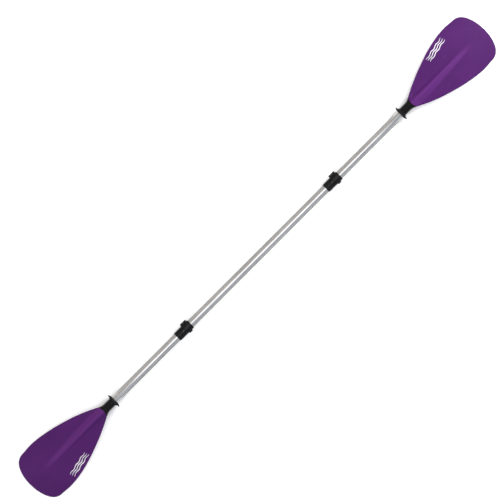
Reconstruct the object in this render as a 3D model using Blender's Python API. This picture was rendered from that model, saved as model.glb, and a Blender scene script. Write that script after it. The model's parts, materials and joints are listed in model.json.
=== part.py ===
"""Take-down kayak paddle: a three-section shaft, two lever clamps, two drip rings and two blades.

Metres. X runs along the shaft, Y across the blades and Z up. The blade tips rest on z = 0.
The left half is the one at -X. Both clamps open towards +X. The two blades are one part, with the left
one turned half a turn about Z.
"""

import math

import bmesh
import bpy

MM = 0.001
CLEARANCE = 0.3 * MM

# Shaft: 28.6 mm drawn tube in three sections, joined over ferrules.
SHAFT_HEIGHT = 31.0 * MM
TUBE_RADIUS = 14.3 * MM
TUBE_BORE = 13.1 * MM
TUBE_OUTER_END = 727.0 * MM
FERRULE_RADIUS = 12.8 * MM
FERRULE_BORE = 11.3 * MM
FERRULE_SPAN = (-30.0 * MM, 120.5 * MM)
FERRULE_LEAD = 1.2 * MM
TUBE_EDGE = 0.3 * MM
CUT_OVERRUN = 2.0 * MM
ROUND_STEPS = 36
SMALL_STEPS = 16
MERGE_DISTANCE = 0.01 * MM
SHARP_ANGLE = math.radians(35.0)

# Clamp collar, measured along X from the end of its plain sleeve.
COLLAR_START = {"left": -401.0 * MM, "right": 343.0 * MM}
COLLAR_LENGTH = 65.8 * MM
COLLAR_BORE = TUBE_RADIUS + CLEARANCE
SLEEVE_RADIUS = 17.5 * MM
BAND_START = 35.0 * MM
BAND_RADIUS = 18.0 * MM
MOUTH_START = 40.9 * MM
MOUTH_BORE = 16.3 * MM
COLLAR_CHAMFER = 1.2 * MM
TUBE_JOINT = 40.5 * MM
TUBE_JOINT_GAP = 0.6 * MM
SLOT_START = 35.6 * MM
SLOT_HALF = 1.5 * MM
SLOT_DEPTH = 2.0 * MM

# Ears and the cross bolt that pulls them together.
EAR_CENTRE = 49.5 * MM
EAR_HALF_LENGTH = 13.5 * MM
EAR_INNER_Y = 15.4 * MM
EAR_OUTER_Y = 25.0 * MM
EAR_HALF_HEIGHT = 6.6 * MM
EAR_ROUNDING = 1.6 * MM
EAR_ROUNDING_STEPS = 3
BOLT_Y = 20.8 * MM
BOLT_RADIUS = 2.0 * MM
BOLT_HOLE = BOLT_RADIUS + CLEARANCE
BOLT_END_Z = -11.4 * MM
EYE_RADIUS = 3.6 * MM
EYE_HALF_LENGTH = 3.0 * MM
NUT_FLAT = 3.5 * MM
NUT_SIDES = 6
NUT_SPAN = (-10.4 * MM, -6.9 * MM)
WASHER_SPAN = (6.9 * MM, 7.7 * MM)
WASHER_Y = (17.6 * MM, 24.0 * MM)
WASHER_HALF_LENGTH = 11.0 * MM

# Bush between the collar's mouth and the tube that slides into it.
BUSH_START = 41.2 * MM
BUSH_RADIUS = 16.0 * MM
BUSH_LIP_START = 66.1 * MM
BUSH_LIP_RADIUS = 16.9 * MM
BUSH_END = 67.2 * MM
BUSH_SLIT_HALF = 0.8 * MM

# Cam lever: two cheeks on a pin, and an arm over the top of the band.
# Angles are about the shaft, from +Y to +Z.
PIVOT_Z = 12.6 * MM
CHEEK_RADIUS = 4.0 * MM
CHEEK_OFFSET = 0.5 * MM
CHEEK_HALF_LENGTH = 12.0 * MM
LEVER_SLOT_RADIUS = 5.0 * MM
PIN_RADIUS = 2.0 * MM
PIN_HALF_LENGTH = 11.4 * MM
ARM_ROOT_INNER = (19.8 * MM, 9.9 * MM)
ARM_ROOT_OUTER = (21.2 * MM, 15.6 * MM)
ARM_START_ANGLE = 43.0
ARM_END_ANGLE = 190.0
ARM_STATIONS = 14
ARM_INNER = 18.6 * MM
ARM_THICKNESS = 2.9 * MM
ARM_ROOT_EXTRA = 0.9 * MM
ARM_TIP_LIFT = 0.9 * MM
ARM_WIDE_HALF = 12.0 * MM
ARM_NARROW_HALF = 6.5 * MM
ARM_CHAMFER = 0.8 * MM
ARM_TIP_SHARE = 0.82
ARM_ROOT_SHARE = 0.30

# Rivet through the collar, the tube and the ferrule.
# Its dome is given in shares of the head's height and radius.
RIVET_X = 31.5 * MM
RIVET_RADIUS = 1.6 * MM
RIVET_HEAD_RADIUS = 3.2 * MM
RIVET_HEAD_HEIGHT = 1.3 * MM
RIVET_DOME = ((0.88, 0.50), (0.55, 0.85))
RIVET_UPSET_RADIUS = 2.5 * MM
RIVET_UPSET = (9.6 * MM, 10.6 * MM)

# Drip ring, measured along the shaft from its face towards the middle of the paddle.
RING_FACE = 714.3 * MM
RING_LENGTH = 12.4 * MM
RING_DOME_RADIUS = 15.0 * MM
RING_DOME_DEPTH = 6.5 * MM
RING_DOME_POINTS = 7
RIM_RADIUS = 29.7 * MM
RIM_TIP = 0.9 * MM
RING_NOTCH = (8.3 * MM, 18.3 * MM)
LIP_RADIUS = 18.9 * MM
LIP_SPAN = (8.8 * MM, 11.4 * MM)

# Blade, measured outwards from the shoulder where it starts to flare.
SHOULDER_X = 758.0 * MM
BLADE_LENGTH = 382.25 * MM
SPIGOT_END = -91.0 * MM
SPIGOT_CHAMFER = 1.5 * MM
NECK_RADIUS = 16.1 * MM
SLEEVE_INSET = NECK_RADIUS - FERRULE_RADIUS
BLADE_WIDTHS_MM = (
    (-8.0, 32.2),
    (-2.0, 34.8),
    (4.0, 39.2),
    (12.0, 46.2),
    (22.0, 56.0),
    (37.0, 68.8),
    (67.0, 93.2),
    (98.0, 118.6),
    (128.0, 139.7),
    (159.0, 159.7),
    (190.0, 176.9),
    (220.0, 189.7),
    (251.0, 199.8),
    (285.0, 204.0),
    (317.0, 199.6),
)
TIP_BULGE = 2.7
TIP_SQUARENESS = 0.51
BIG_SIDE_SHARE = 0.521
BLADE_FLATTEN = (13.0 * MM, 40.0 * MM)
SPINE_END = 316.0 * MM
SPINE_FADE = 1.5
SPINE_LEAN = 3.0 * MM
SPINE_STEEP_END = 8.0 * MM
SPINE_GENTLE_MM = (
    (0.0, 16.1),
    (40.0, 22.0),
    (90.0, 27.0),
    (150.0, 24.0),
    (210.0, 20.0),
    (270.0, 15.0),
    (316.0, 8.0),
)
BACK_RIB_END = 120.0 * MM
PLATE_THICKNESS = 4.0 * MM
PLATE_ROOT_EXTRA = 4.0 * MM
PLATE_ROOT_REACH = 60.0 * MM
EDGE_SHARE = 0.38
SCOOP_DROP = 29.6 * MM
SCOOP_POWER = 1.8
DIHEDRAL_DROP = 5.0 * MM
WIDEST_HALF = 101.5 * MM
SECTION_POINTS = 23
SECTION_TURN = math.radians(84.0)
SPREAD_POWER = 1.25
EDGE_POWER = 2.5
TIP_THINNING = 300.0 * MM
SPINE_SOFT_SHARE = 0.4
LEAN_SHARE = 0.6
CORE_STATIONS_MM = (-22.0, -12.0, -5.0, 0.0, 3.5, 7.5)
BLADE_STATIONS_MM = (
    (12.1, 14.0, 18.0, 22.0, 26.0, 31.0, 36.0, 40.0, 48.0, 58.0, 70.0, 84.0)
    + (100.0, 118.0, 136.0, 156.0, 176.0, 196.0, 218.0, 240.0, 262.0, 284.0)
    + (302.0, 317.0, 329.0, 340.0, 350.0, 358.0, 364.0, 369.0, 373.0, 376.0)
    + (378.5, 380.5, 382.0)
)

# Neck sleeve over the blade's root.
NECK_START = -30.6 * MM
NECK_CHAMFER = 0.8 * MM
NECK_END = 11.4 * MM
STEP_START = 11.8 * MM
STEP_END = 12.1 * MM
NECK_PROUD = 0.3 * MM
NECK_PROUD_FADE = 50.0 * MM
NECK_EDGE_REACH = 6.0 * MM
NECK_EDGE_SPAN = (-24.0 * MM, -2.0 * MM)
NECK_EDGE_FADE = 60.0 * MM

# Pin that holds the blade's spigot in the tube, on the underside.
BLADE_PIN_X = 692.0 * MM
BLADE_PIN_RADIUS = 1.75 * MM
BLADE_PIN_SPAN = (-14.1 * MM, -6.0 * MM)

# Foam and rubber stoppers that keep water out.
FERRULE_PLUG_SPAN = (-28.0 * MM, -10.0 * MM)
MIDDLE_PLUG_SPAN = (-268.0 * MM, -248.0 * MM)
RIGHT_PLUG_SPAN = (476.0 * MM, 496.0 * MM)
PLUG_CHAMFER = 1.0 * MM

# Finishes: base colour, roughness, metallic.
FINISHES = {
    "blade": ((0.125, 0.030, 0.185, 1.0), 0.42, 0.0),
    "neck": ((0.012, 0.012, 0.013, 1.0), 0.35, 0.0),
    "ring": ((0.016, 0.016, 0.018, 1.0), 0.50, 0.0),
    "tube": ((0.62, 0.62, 0.61, 1.0), 0.28, 1.0),
    "collar": ((0.030, 0.030, 0.033, 1.0), 0.48, 0.0),
    "lever": ((0.024, 0.024, 0.027, 1.0), 0.40, 0.0),
    "bush": ((0.055, 0.055, 0.060, 1.0), 0.45, 0.0),
    "steel": ((0.55, 0.55, 0.54, 1.0), 0.25, 1.0),
    "ferrule": ((0.48, 0.48, 0.47, 1.0), 0.35, 1.0),
    "plug": ((0.040, 0.040, 0.042, 1.0), 0.85, 0.0),
}


def clear_objects():
    for obj in list(bpy.data.objects):
        bpy.data.objects.remove(obj, do_unlink=True)


def smooth_step(value):
    t = min(max(value, 0.0), 1.0)
    return t * t * (3.0 - 2.0 * t)


def paint(obj, finish):
    """Give the object a Principled BSDF material of its own."""
    color, roughness, metallic = FINISHES[finish]
    material = bpy.data.materials.new(obj.name)
    material.use_nodes = True
    shader = material.node_tree.nodes["Principled BSDF"]
    shader.inputs["Base Color"].default_value = color
    shader.inputs["Roughness"].default_value = roughness
    shader.inputs["Metallic"].default_value = metallic
    obj.data.materials.append(material)


def add_object(name, verts, faces, edges=()):
    mesh = bpy.data.meshes.new(name)
    mesh.from_pydata(verts, list(edges), faces)
    mesh.update()
    obj = bpy.data.objects.new(name, mesh)
    bpy.context.scene.collection.objects.link(obj)
    return obj


def face_out(obj):
    """Turn every face of a closed mesh outwards."""
    shape = bmesh.new()
    shape.from_mesh(obj.data)
    bmesh.ops.recalc_face_normals(shape, faces=shape.faces)
    shape.to_mesh(obj.data)
    shape.free()
    return obj


def shade_round(obj):
    obj.data.shade_smooth()
    obj.data.set_sharp_from_angle(angle=SHARP_ANGLE)


def place(obj, x, y=0.0, z=0.0):
    """Put the object at a point given from the shaft's axis."""
    obj.location = (x, y, SHAFT_HEIGHT + z)


def signed_area(outline):
    total = 0.0
    for (x0, r0), (x1, r1) in zip(outline, outline[1:] + outline[:1]):
        total += x0 * r1 - x1 * r0
    return total / 2.0


def lathe(name, outline, steps=ROUND_STEPS, closed=True):
    """Turn an outline of (x, radius) points about X. The outer side has to run towards -X."""
    points = list(outline)
    if signed_area(points) < 0.0:
        points.reverse()
    count = len(points)
    edges = [(i, i + 1) for i in range(count - 1)]
    if closed:
        edges.append((count - 1, 0))
    obj = add_object(name, [(x, r, 0.0) for x, r in points], [], edges)
    turn = obj.modifiers.new("turn", "SCREW")
    turn.axis = "X"
    turn.angle = math.tau
    turn.steps = steps
    turn.render_steps = steps
    turn.screw_offset = 0.0
    turn.use_merge_vertices = True
    turn.merge_threshold = MERGE_DISTANCE
    turn.use_smooth_shade = True
    return obj


def solid_of_revolution(name, outline, steps=SMALL_STEPS):
    """Turn an outline that starts and ends on the axis. It runs from +X to -X along its outer side."""
    return lathe(name, outline, steps, closed=False)


def rod_outline(span, radius, chamfer):
    start, end = span
    return [
        (end, 0.0),
        (end, radius - chamfer),
        (end - chamfer, radius),
        (start + chamfer, radius),
        (start, radius - chamfer),
        (start, 0.0),
    ]


def box(name, lows, highs):
    """A box between two corners, facing out."""
    (x0, y0, z0), (x1, y1, z1) = lows, highs
    verts = [(x, y, z) for x in (x0, x1) for y in (y0, y1) for z in (z0, z1)]
    faces = [(0, 1, 3, 2), (4, 6, 7, 5), (0, 4, 5, 1), (2, 3, 7, 6), (0, 2, 6, 4), (1, 5, 7, 3)]
    return face_out(add_object(name, verts, faces))


def drum(name, radius, span, axis, steps=SMALL_STEPS):
    """A plain cylinder along X or Z between two positions on that axis."""
    verts = []
    for at in span:
        for i in range(steps):
            turn = math.tau * i / steps
            across, up = radius * math.cos(turn), radius * math.sin(turn)
            verts.append((at, across, up) if axis == "X" else (across, up, at))
    faces = [tuple(range(steps - 1, -1, -1)), tuple(range(steps, 2 * steps))]
    for i in range(steps):
        j = (i + 1) % steps
        faces.append((i, j, steps + j, steps + i))
    return face_out(add_object(name, verts, faces))


def boolean(obj, other, operation):
    """Combine with a hidden helper object."""
    step = obj.modifiers.new(other.name, "BOOLEAN")
    step.operation = operation
    step.object = other
    step.solver = "EXACT"
    other.hide_render = True
    other.display_type = "WIRE"


def skin(name, rings, wrap=False):
    """Skin rings of equal point counts, and cap the ends unless the last ring joins the first."""
    size, count = len(rings[0]), len(rings)
    verts = [point for ring in rings for point in ring]
    faces = []
    for k in range(count if wrap else count - 1):
        a, b = k * size, (k + 1) % count * size
        for i in range(size):
            j = (i + 1) % size
            faces.append((a + i, a + j, b + j, b + i))
    if not wrap:
        faces.append(tuple(range(size)))
        faces.append(tuple(range((count - 1) * size, count * size)))
    return face_out(add_object(name, verts, faces))


def interpolate(table, at):
    """A smooth curve through (position, value) pairs."""
    last = len(table) - 1
    k = 0
    while k < last - 1 and at > table[k + 1][0]:
        k += 1
    (x0, v0), (x1, v1) = table[k], table[k + 1]
    xa, va = table[max(k - 1, 0)]
    xb, vb = table[min(k + 2, last)]
    slope0 = (v1 - va) / (x1 - xa)
    slope1 = (vb - v0) / (xb - x0)
    span = x1 - x0
    t = (at - x0) / span
    t2, t3 = t * t, t * t * t
    return (
        (2 * t3 - 3 * t2 + 1) * v0
        + (t3 - 2 * t2 + t) * span * slope0
        + (3 * t2 - 2 * t3) * v1
        + (t3 - t2) * span * slope1
    )


def blade_half_width(distance):
    """Half of the blade's width, with a squarish rounded tip past the last tabled width."""
    corner, corner_width = (value * MM for value in BLADE_WIDTHS_MM[-1])
    if distance <= BLADE_WIDTHS_MM[0][0] * MM:
        return NECK_RADIUS
    if distance <= corner:
        return interpolate(BLADE_WIDTHS_MM, distance / MM) * MM / 2.0
    along = min((distance - corner) / (BLADE_LENGTH - corner), 1.0)
    return corner_width / 2.0 * (1.0 - along**TIP_BULGE) ** TIP_SQUARENESS


def spine_reach(distance, along, offset):
    """Width of the rib's flank: gentle on the small side of the blade, steep on the big side."""
    if offset > 0.0:
        return NECK_RADIUS + (SPINE_STEEP_END - NECK_RADIUS) * along
    at = min(max(distance, 0.0), SPINE_END)
    return interpolate(SPINE_GENTLE_MM, at / MM) * MM


def spine_bump(distance, y, end):
    """Height of the rounded central rib, which narrows and fades."""
    along = min(max(distance / end, 0.0), 1.0)
    offset = y - SPINE_LEAN * along
    across = min(abs(offset) / spine_reach(distance, along, offset), 1.0)
    soften = smooth_step(distance / (SPINE_SOFT_SHARE * end))
    dome = math.sqrt(1.0 - across * across)
    swell = math.cos(math.pi * across / 2.0) ** 2
    height = NECK_RADIUS * (1.0 - along) ** SPINE_FADE
    return height * ((1.0 - soften) * dome + soften * swell)


def plate_half_thickness(distance, side):
    """Half the plate's thickness, which thins to the edges and to the tip."""
    thick = PLATE_THICKNESS + PLATE_ROOT_EXTRA * math.exp(-max(distance, 0.0) / PLATE_ROOT_REACH)
    tip = (distance - TIP_THINNING) / (BLADE_LENGTH - TIP_THINNING)
    return thick / 2.0 * (1.0 - (1.0 - EDGE_SHARE) * max(abs(side), tip) ** EDGE_POWER)


def edge_shift(distance, side):
    """How far a section's sides reach past its middle, so that the neck sleeve ends on a curve."""
    rise = (distance - NECK_EDGE_SPAN[0]) / (NECK_EDGE_SPAN[1] - NECK_EDGE_SPAN[0])
    fall = (distance - STEP_END) / NECK_EDGE_FADE
    return NECK_EDGE_REACH * side * side * smooth_step(rise) * (1.0 - smooth_step(fall))


def section(distance, inset):
    """One ring of the blade, over the top and back: round at the neck, turning into a ribbed plate."""
    flat = smooth_step((distance - BLADE_FLATTEN[0]) / (BLADE_FLATTEN[1] - BLADE_FLATTEN[0]))
    half = blade_half_width(distance) - inset
    lean = (2.0 * BIG_SIDE_SHARE - 1.0) * smooth_step(distance / (LEAN_SHARE * BLADE_LENGTH))
    drop = SCOOP_DROP * (max(distance, 0.0) / BLADE_LENGTH) ** SCOOP_POWER
    top, bottom = [], []
    for i in range(SECTION_POINTS):
        spread = 2.0 * i / (SECTION_POINTS - 1) - 1.0
        turn = SECTION_TURN * spread
        round_side = math.sin(turn) / math.sin(SECTION_TURN)
        plate_side = math.copysign(abs(spread) ** SPREAD_POWER, spread)
        side = (1.0 - flat) * round_side + flat * plate_side
        y = half * (side + lean * (1.0 - (1.0 - abs(side)) ** 2))
        x = distance + edge_shift(distance, side)
        sag = drop + DIHEDRAL_DROP * (y / WIDEST_HALF) ** 2 * flat
        ring = (1.0 - flat) * (NECK_RADIUS - inset) * math.cos(turn)
        plate = plate_half_thickness(distance, side)
        crown = plate + spine_bump(distance, y, SPINE_END)
        top.append((x, y, ring + flat * crown - sag))
        bottom.append((x, y, -ring - flat * (plate + spine_bump(distance, y, BACK_RIB_END)) - sag))
    return top + bottom[::-1]


def outward(obj, side, at):
    """Put a piece that is drawn towards +X at a distance out from the middle, on either side."""
    sign = 1.0 if side == "right" else -1.0
    place(obj, sign * at)
    obj.rotation_euler = (0.0, 0.0, 0.0 if side == "right" else math.pi)


def make_blade(side):
    rings = [
        section(SPIGOT_END, SLEEVE_INSET + SPIGOT_CHAMFER),
        section(SPIGOT_END + SPIGOT_CHAMFER, SLEEVE_INSET),
    ]
    rings += [section(at * MM, SLEEVE_INSET) for at in CORE_STATIONS_MM]
    rings.append(section(STEP_START, SLEEVE_INSET))
    for at in BLADE_STATIONS_MM:
        fade = 1.0 - smooth_step((at * MM - STEP_END) / NECK_PROUD_FADE)
        rings.append(section(at * MM, NECK_PROUD * fade))
    blade = skin(side + "_blade", rings)
    outward(blade, side, SHOULDER_X)
    shade_round(blade)
    paint(blade, "blade")
    boolean(blade, blade_pin_cutter(side), "DIFFERENCE")


def make_neck_sleeve(side):
    bore = SLEEVE_INSET - CLEARANCE
    outside = [section(NECK_START, NECK_CHAMFER), section(NECK_START + NECK_CHAMFER, 0.0)]
    outside += [section(at * MM, 0.0) for at in CORE_STATIONS_MM]
    outside.append(section(NECK_END, 0.0))
    inside = [section(NECK_END, bore)]
    inside += [section(at * MM, bore) for at in CORE_STATIONS_MM[::-1]]
    inside.append(section(NECK_START, bore))
    sleeve = skin(side + "_neck_sleeve", outside + inside, wrap=True)
    outward(sleeve, side, SHOULDER_X)
    shade_round(sleeve)
    paint(sleeve, "neck")


def ring_outline():
    """A domed face, a thin rim, a dished back and a short lip next to the neck."""
    dome = []
    for i in range(RING_DOME_POINTS):
        t = i / (RING_DOME_POINTS - 1)
        dome.append((RING_DOME_DEPTH * t * t, RING_DOME_RADIUS + (RIM_RADIUS - RING_DOME_RADIUS) * t))
    back = [
        (RING_DOME_DEPTH + RIM_TIP, RIM_RADIUS - RIM_TIP / 2.0),
        RING_NOTCH,
        (LIP_SPAN[0], LIP_RADIUS),
        (LIP_SPAN[1], LIP_RADIUS),
        (RING_LENGTH, NECK_RADIUS),
    ]
    return [(0.0, COLLAR_BORE)] + dome + back + [(RING_LENGTH, COLLAR_BORE)]


def make_drip_ring(side):
    ring = lathe(side + "_drip_ring", ring_outline())
    outward(ring, side, RING_FACE)
    paint(ring, "ring")


def blade_pin_cutter(side):
    low, high = BLADE_PIN_SPAN
    span = (low - CUT_OVERRUN, high + CLEARANCE)
    cutter = drum("cut_blade_pin_" + side, BLADE_PIN_RADIUS + CLEARANCE, span, "Z")
    outward(cutter, side, BLADE_PIN_X)
    return cutter


def make_blade_pin(side):
    pin = drum(side + "_blade_pin", BLADE_PIN_RADIUS, BLADE_PIN_SPAN, "Z")
    outward(pin, side, BLADE_PIN_X)
    shade_round(pin)
    paint(pin, "steel")


def rivet_cutter(side):
    span = (RIVET_UPSET[0] - CLEARANCE, SLEEVE_RADIUS + CUT_OVERRUN)
    cutter = drum("cut_rivet_" + side, RIVET_RADIUS + CLEARANCE, span, "Z")
    place(cutter, COLLAR_START[side] + RIVET_X)
    return cutter


def tube_outline(start, end):
    return [
        (end, TUBE_BORE),
        (end, TUBE_RADIUS - TUBE_EDGE),
        (end - TUBE_EDGE, TUBE_RADIUS),
        (start + TUBE_EDGE, TUBE_RADIUS),
        (start, TUBE_RADIUS - TUBE_EDGE),
        (start, TUBE_BORE),
    ]


def make_tube(name, start, end, cutters):
    tube = lathe(name, tube_outline(start, end))
    place(tube, 0.0)
    paint(tube, "tube")
    for cutter in cutters:
        boolean(tube, cutter, "DIFFERENCE")


def make_tubes():
    joints = {side: COLLAR_START[side] + TUBE_JOINT for side in COLLAR_START}
    make_tube(
        "left_shaft_tube",
        -TUBE_OUTER_END,
        joints["left"],
        (rivet_cutter("left"), blade_pin_cutter("left")),
    )
    make_tube(
        "middle_shaft_tube",
        joints["left"] + TUBE_JOINT_GAP,
        joints["right"],
        (rivet_cutter("right"),),
    )
    make_tube(
        "right_shaft_tube",
        joints["right"] + TUBE_JOINT_GAP,
        TUBE_OUTER_END,
        (blade_pin_cutter("right"),),
    )


def make_ferrule(side):
    start, end = FERRULE_SPAN
    outline = [
        (end, FERRULE_BORE),
        (end, FERRULE_RADIUS - FERRULE_LEAD / 2.0),
        (end - FERRULE_LEAD, FERRULE_RADIUS),
        (start, FERRULE_RADIUS),
        (start, FERRULE_BORE),
    ]
    ferrule = lathe(side + "_ferrule", outline)
    place(ferrule, COLLAR_START[side])
    paint(ferrule, "ferrule")
    boolean(ferrule, rivet_cutter(side), "DIFFERENCE")


def make_plug(name, span, radius, offset):
    plug = solid_of_revolution(name, rod_outline(span, radius, PLUG_CHAMFER), ROUND_STEPS)
    place(plug, offset)
    paint(plug, "plug")


def ear_tool(name, radius, span, axis, side, z=0.0):
    """A helper cylinder at the clamp's bolt line."""
    tool = drum(name + "_" + side, radius, span, axis)
    place(tool, COLLAR_START[side] + EAR_CENTRE, BOLT_Y, z)
    return tool


def make_collar(side):
    outline = [
        (COLLAR_LENGTH, COLLAR_BORE),
        (COLLAR_LENGTH, BAND_RADIUS - COLLAR_CHAMFER),
        (COLLAR_LENGTH - COLLAR_CHAMFER, BAND_RADIUS),
        (BAND_START + BAND_RADIUS - SLEEVE_RADIUS, BAND_RADIUS),
        (BAND_START, SLEEVE_RADIUS),
        (COLLAR_CHAMFER, SLEEVE_RADIUS),
        (0.0, SLEEVE_RADIUS - COLLAR_CHAMFER),
        (0.0, COLLAR_BORE),
    ]
    collar = lathe(side + "_clamp_collar", outline)
    place(collar, COLLAR_START[side])
    paint(collar, "collar")
    ears = box(
        "ears_" + side,
        (EAR_CENTRE - EAR_HALF_LENGTH, EAR_INNER_Y, -EAR_HALF_HEIGHT),
        (EAR_CENTRE + EAR_HALF_LENGTH, EAR_OUTER_Y, EAR_HALF_HEIGHT),
    )
    place(ears, COLLAR_START[side])
    rounding = ears.modifiers.new("rounding", "BEVEL")
    rounding.width = EAR_ROUNDING
    rounding.segments = EAR_ROUNDING_STEPS
    boolean(collar, ears, "UNION")
    mouth_span = (MOUTH_START, COLLAR_LENGTH + CUT_OVERRUN)
    mouth = drum("cut_mouth_" + side, MOUTH_BORE, mouth_span, "X", ROUND_STEPS)
    place(mouth, COLLAR_START[side])
    boolean(collar, mouth, "DIFFERENCE")
    slot = box(
        "cut_slot_" + side,
        (SLOT_START, EAR_INNER_Y - SLOT_DEPTH, -SLOT_HALF),
        (COLLAR_LENGTH + CUT_OVERRUN, EAR_OUTER_Y + CUT_OVERRUN, SLOT_HALF),
    )
    place(slot, COLLAR_START[side])
    boolean(collar, slot, "DIFFERENCE")
    reach = EAR_HALF_HEIGHT + CUT_OVERRUN
    boolean(collar, ear_tool("cut_ear_hole", BOLT_HOLE, (-reach, reach), "Z", side), "DIFFERENCE")
    boolean(collar, rivet_cutter(side), "DIFFERENCE")


def make_bush(side):
    outline = [
        (BUSH_END, COLLAR_BORE),
        (BUSH_END, BUSH_LIP_RADIUS - CLEARANCE),
        (BUSH_END - CLEARANCE, BUSH_LIP_RADIUS),
        (BUSH_LIP_START, BUSH_LIP_RADIUS),
        (BUSH_LIP_START, BUSH_RADIUS),
        (BUSH_START, BUSH_RADIUS),
        (BUSH_START, COLLAR_BORE),
    ]
    bush = lathe(side + "_clamp_bush", outline)
    place(bush, COLLAR_START[side])
    paint(bush, "bush")
    slit = box(
        "cut_slit_" + side,
        (BUSH_START - CUT_OVERRUN, 0.0, -BUSH_SLIT_HALF),
        (BUSH_END + CUT_OVERRUN, BAND_RADIUS, BUSH_SLIT_HALF),
    )
    place(slit, COLLAR_START[side])
    boolean(bush, slit, "DIFFERENCE")


def make_bolt(side):
    bolt = drum(side + "_clamp_bolt", BOLT_RADIUS, (BOLT_END_Z, PIVOT_Z), "Z")
    place(bolt, COLLAR_START[side] + EAR_CENTRE, BOLT_Y)
    shade_round(bolt)
    paint(bolt, "steel")
    eye_span = (-EYE_HALF_LENGTH, EYE_HALF_LENGTH)
    boolean(bolt, ear_tool("eye", EYE_RADIUS, eye_span, "X", side, PIVOT_Z), "UNION")
    hole_span = (-PIN_HALF_LENGTH, PIN_HALF_LENGTH)
    hole = ear_tool("cut_eye", PIN_RADIUS + CLEARANCE, hole_span, "X", side, PIVOT_Z)
    boolean(bolt, hole, "DIFFERENCE")


def make_nut(side):
    corner = NUT_FLAT / math.cos(math.pi / NUT_SIDES)
    nut = drum(side + "_clamp_nut", corner, NUT_SPAN, "Z", NUT_SIDES)
    place(nut, COLLAR_START[side] + EAR_CENTRE, BOLT_Y)
    paint(nut, "steel")
    span = (NUT_SPAN[0] - CUT_OVERRUN, NUT_SPAN[1] + CUT_OVERRUN)
    boolean(nut, ear_tool("cut_nut", BOLT_HOLE, span, "Z", side), "DIFFERENCE")


def make_washer(side):
    low_z, high_z = WASHER_SPAN
    washer = box(
        side + "_lever_washer",
        (-WASHER_HALF_LENGTH, WASHER_Y[0] - BOLT_Y, low_z),
        (WASHER_HALF_LENGTH, WASHER_Y[1] - BOLT_Y, high_z),
    )
    place(washer, COLLAR_START[side] + EAR_CENTRE, BOLT_Y)
    paint(washer, "steel")
    span = (low_z - CUT_OVERRUN, high_z + CUT_OVERRUN)
    boolean(washer, ear_tool("cut_washer", BOLT_HOLE, span, "Z", side), "DIFFERENCE")


def make_pin(side):
    pin = drum(side + "_lever_pin", PIN_RADIUS, (-PIN_HALF_LENGTH, PIN_HALF_LENGTH), "X")
    place(pin, COLLAR_START[side] + EAR_CENTRE, BOLT_Y, PIVOT_Z)
    shade_round(pin)
    paint(pin, "steel")


def arm_ring(inner, outer, half):
    """A chamfered four-sided section of the arm, from the pivot."""
    (y0, z0), (y1, z1) = inner, outer
    length = math.hypot(y1 - y0, z1 - z0)
    cut = ARM_CHAMFER / length
    corners = (
        (-half, cut),
        (-half + ARM_CHAMFER, 0.0),
        (half - ARM_CHAMFER, 0.0),
        (half, cut),
        (half, 1.0 - cut),
        (half - ARM_CHAMFER, 1.0),
        (-half + ARM_CHAMFER, 1.0),
        (-half, 1.0 - cut),
    )
    return [
        (x, y0 + (y1 - y0) * t - BOLT_Y, z0 + (z1 - z0) * t - PIVOT_Z)
        for x, t in corners
    ]


def arm_rings():
    """The arm's sections: the root between the cheeks, then around the band to the thumb tip."""
    rings = [arm_ring(ARM_ROOT_INNER, ARM_ROOT_OUTER, ARM_WIDE_HALF)]
    for i in range(ARM_STATIONS):
        t = i / (ARM_STATIONS - 1)
        turn = math.radians(ARM_START_ANGLE + (ARM_END_ANGLE - ARM_START_ANGLE) * t)
        lift = ARM_TIP_LIFT * smooth_step((t - ARM_TIP_SHARE) / (1.0 - ARM_TIP_SHARE))
        low = ARM_INNER + lift
        high = low + ARM_THICKNESS + ARM_ROOT_EXTRA * (1.0 - smooth_step(t / ARM_ROOT_SHARE))
        half = ARM_WIDE_HALF + (ARM_NARROW_HALF - ARM_WIDE_HALF) * smooth_step(t)
        across, up = math.cos(turn), math.sin(turn)
        rings.append(arm_ring((low * across, low * up), (high * across, high * up), half))
    return rings


def make_lever(side):
    lever = skin(side + "_clamp_lever", arm_rings())
    place(lever, COLLAR_START[side] + EAR_CENTRE, BOLT_Y, PIVOT_Z)
    paint(lever, "lever")
    cheek_span = (-CHEEK_HALF_LENGTH, CHEEK_HALF_LENGTH)
    cheek_z = PIVOT_Z - CHEEK_OFFSET
    boolean(lever, ear_tool("cheeks", CHEEK_RADIUS, cheek_span, "X", side, cheek_z), "UNION")
    slot_half = EYE_HALF_LENGTH + CLEARANCE
    slot = ear_tool("cut_lever_slot", LEVER_SLOT_RADIUS, (-slot_half, slot_half), "X", side, PIVOT_Z)
    boolean(lever, slot, "DIFFERENCE")
    reach = CHEEK_HALF_LENGTH + CUT_OVERRUN
    hole = ear_tool("cut_lever_hole", PIN_RADIUS + CLEARANCE, (-reach, reach), "X", side, PIVOT_Z)
    boolean(lever, hole, "DIFFERENCE")


def make_rivet(side):
    seat = SLEEVE_RADIUS + CLEARANCE
    low, high = RIVET_UPSET
    outline = [(seat + RIVET_HEAD_HEIGHT, 0.0)]
    outline += [(seat + RIVET_HEAD_HEIGHT * up, RIVET_HEAD_RADIUS * out) for up, out in RIVET_DOME]
    outline += [
        (seat, RIVET_HEAD_RADIUS),
        (seat, RIVET_RADIUS),
        (high, RIVET_RADIUS),
        (high, RIVET_UPSET_RADIUS),
        (low, RIVET_UPSET_RADIUS),
        (low, 0.0),
    ]
    rivet = solid_of_revolution(side + "_collar_rivet", outline)
    place(rivet, COLLAR_START[side] + RIVET_X)
    rivet.rotation_euler = (0.0, -math.pi / 2.0, 0.0)
    paint(rivet, "steel")


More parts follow.
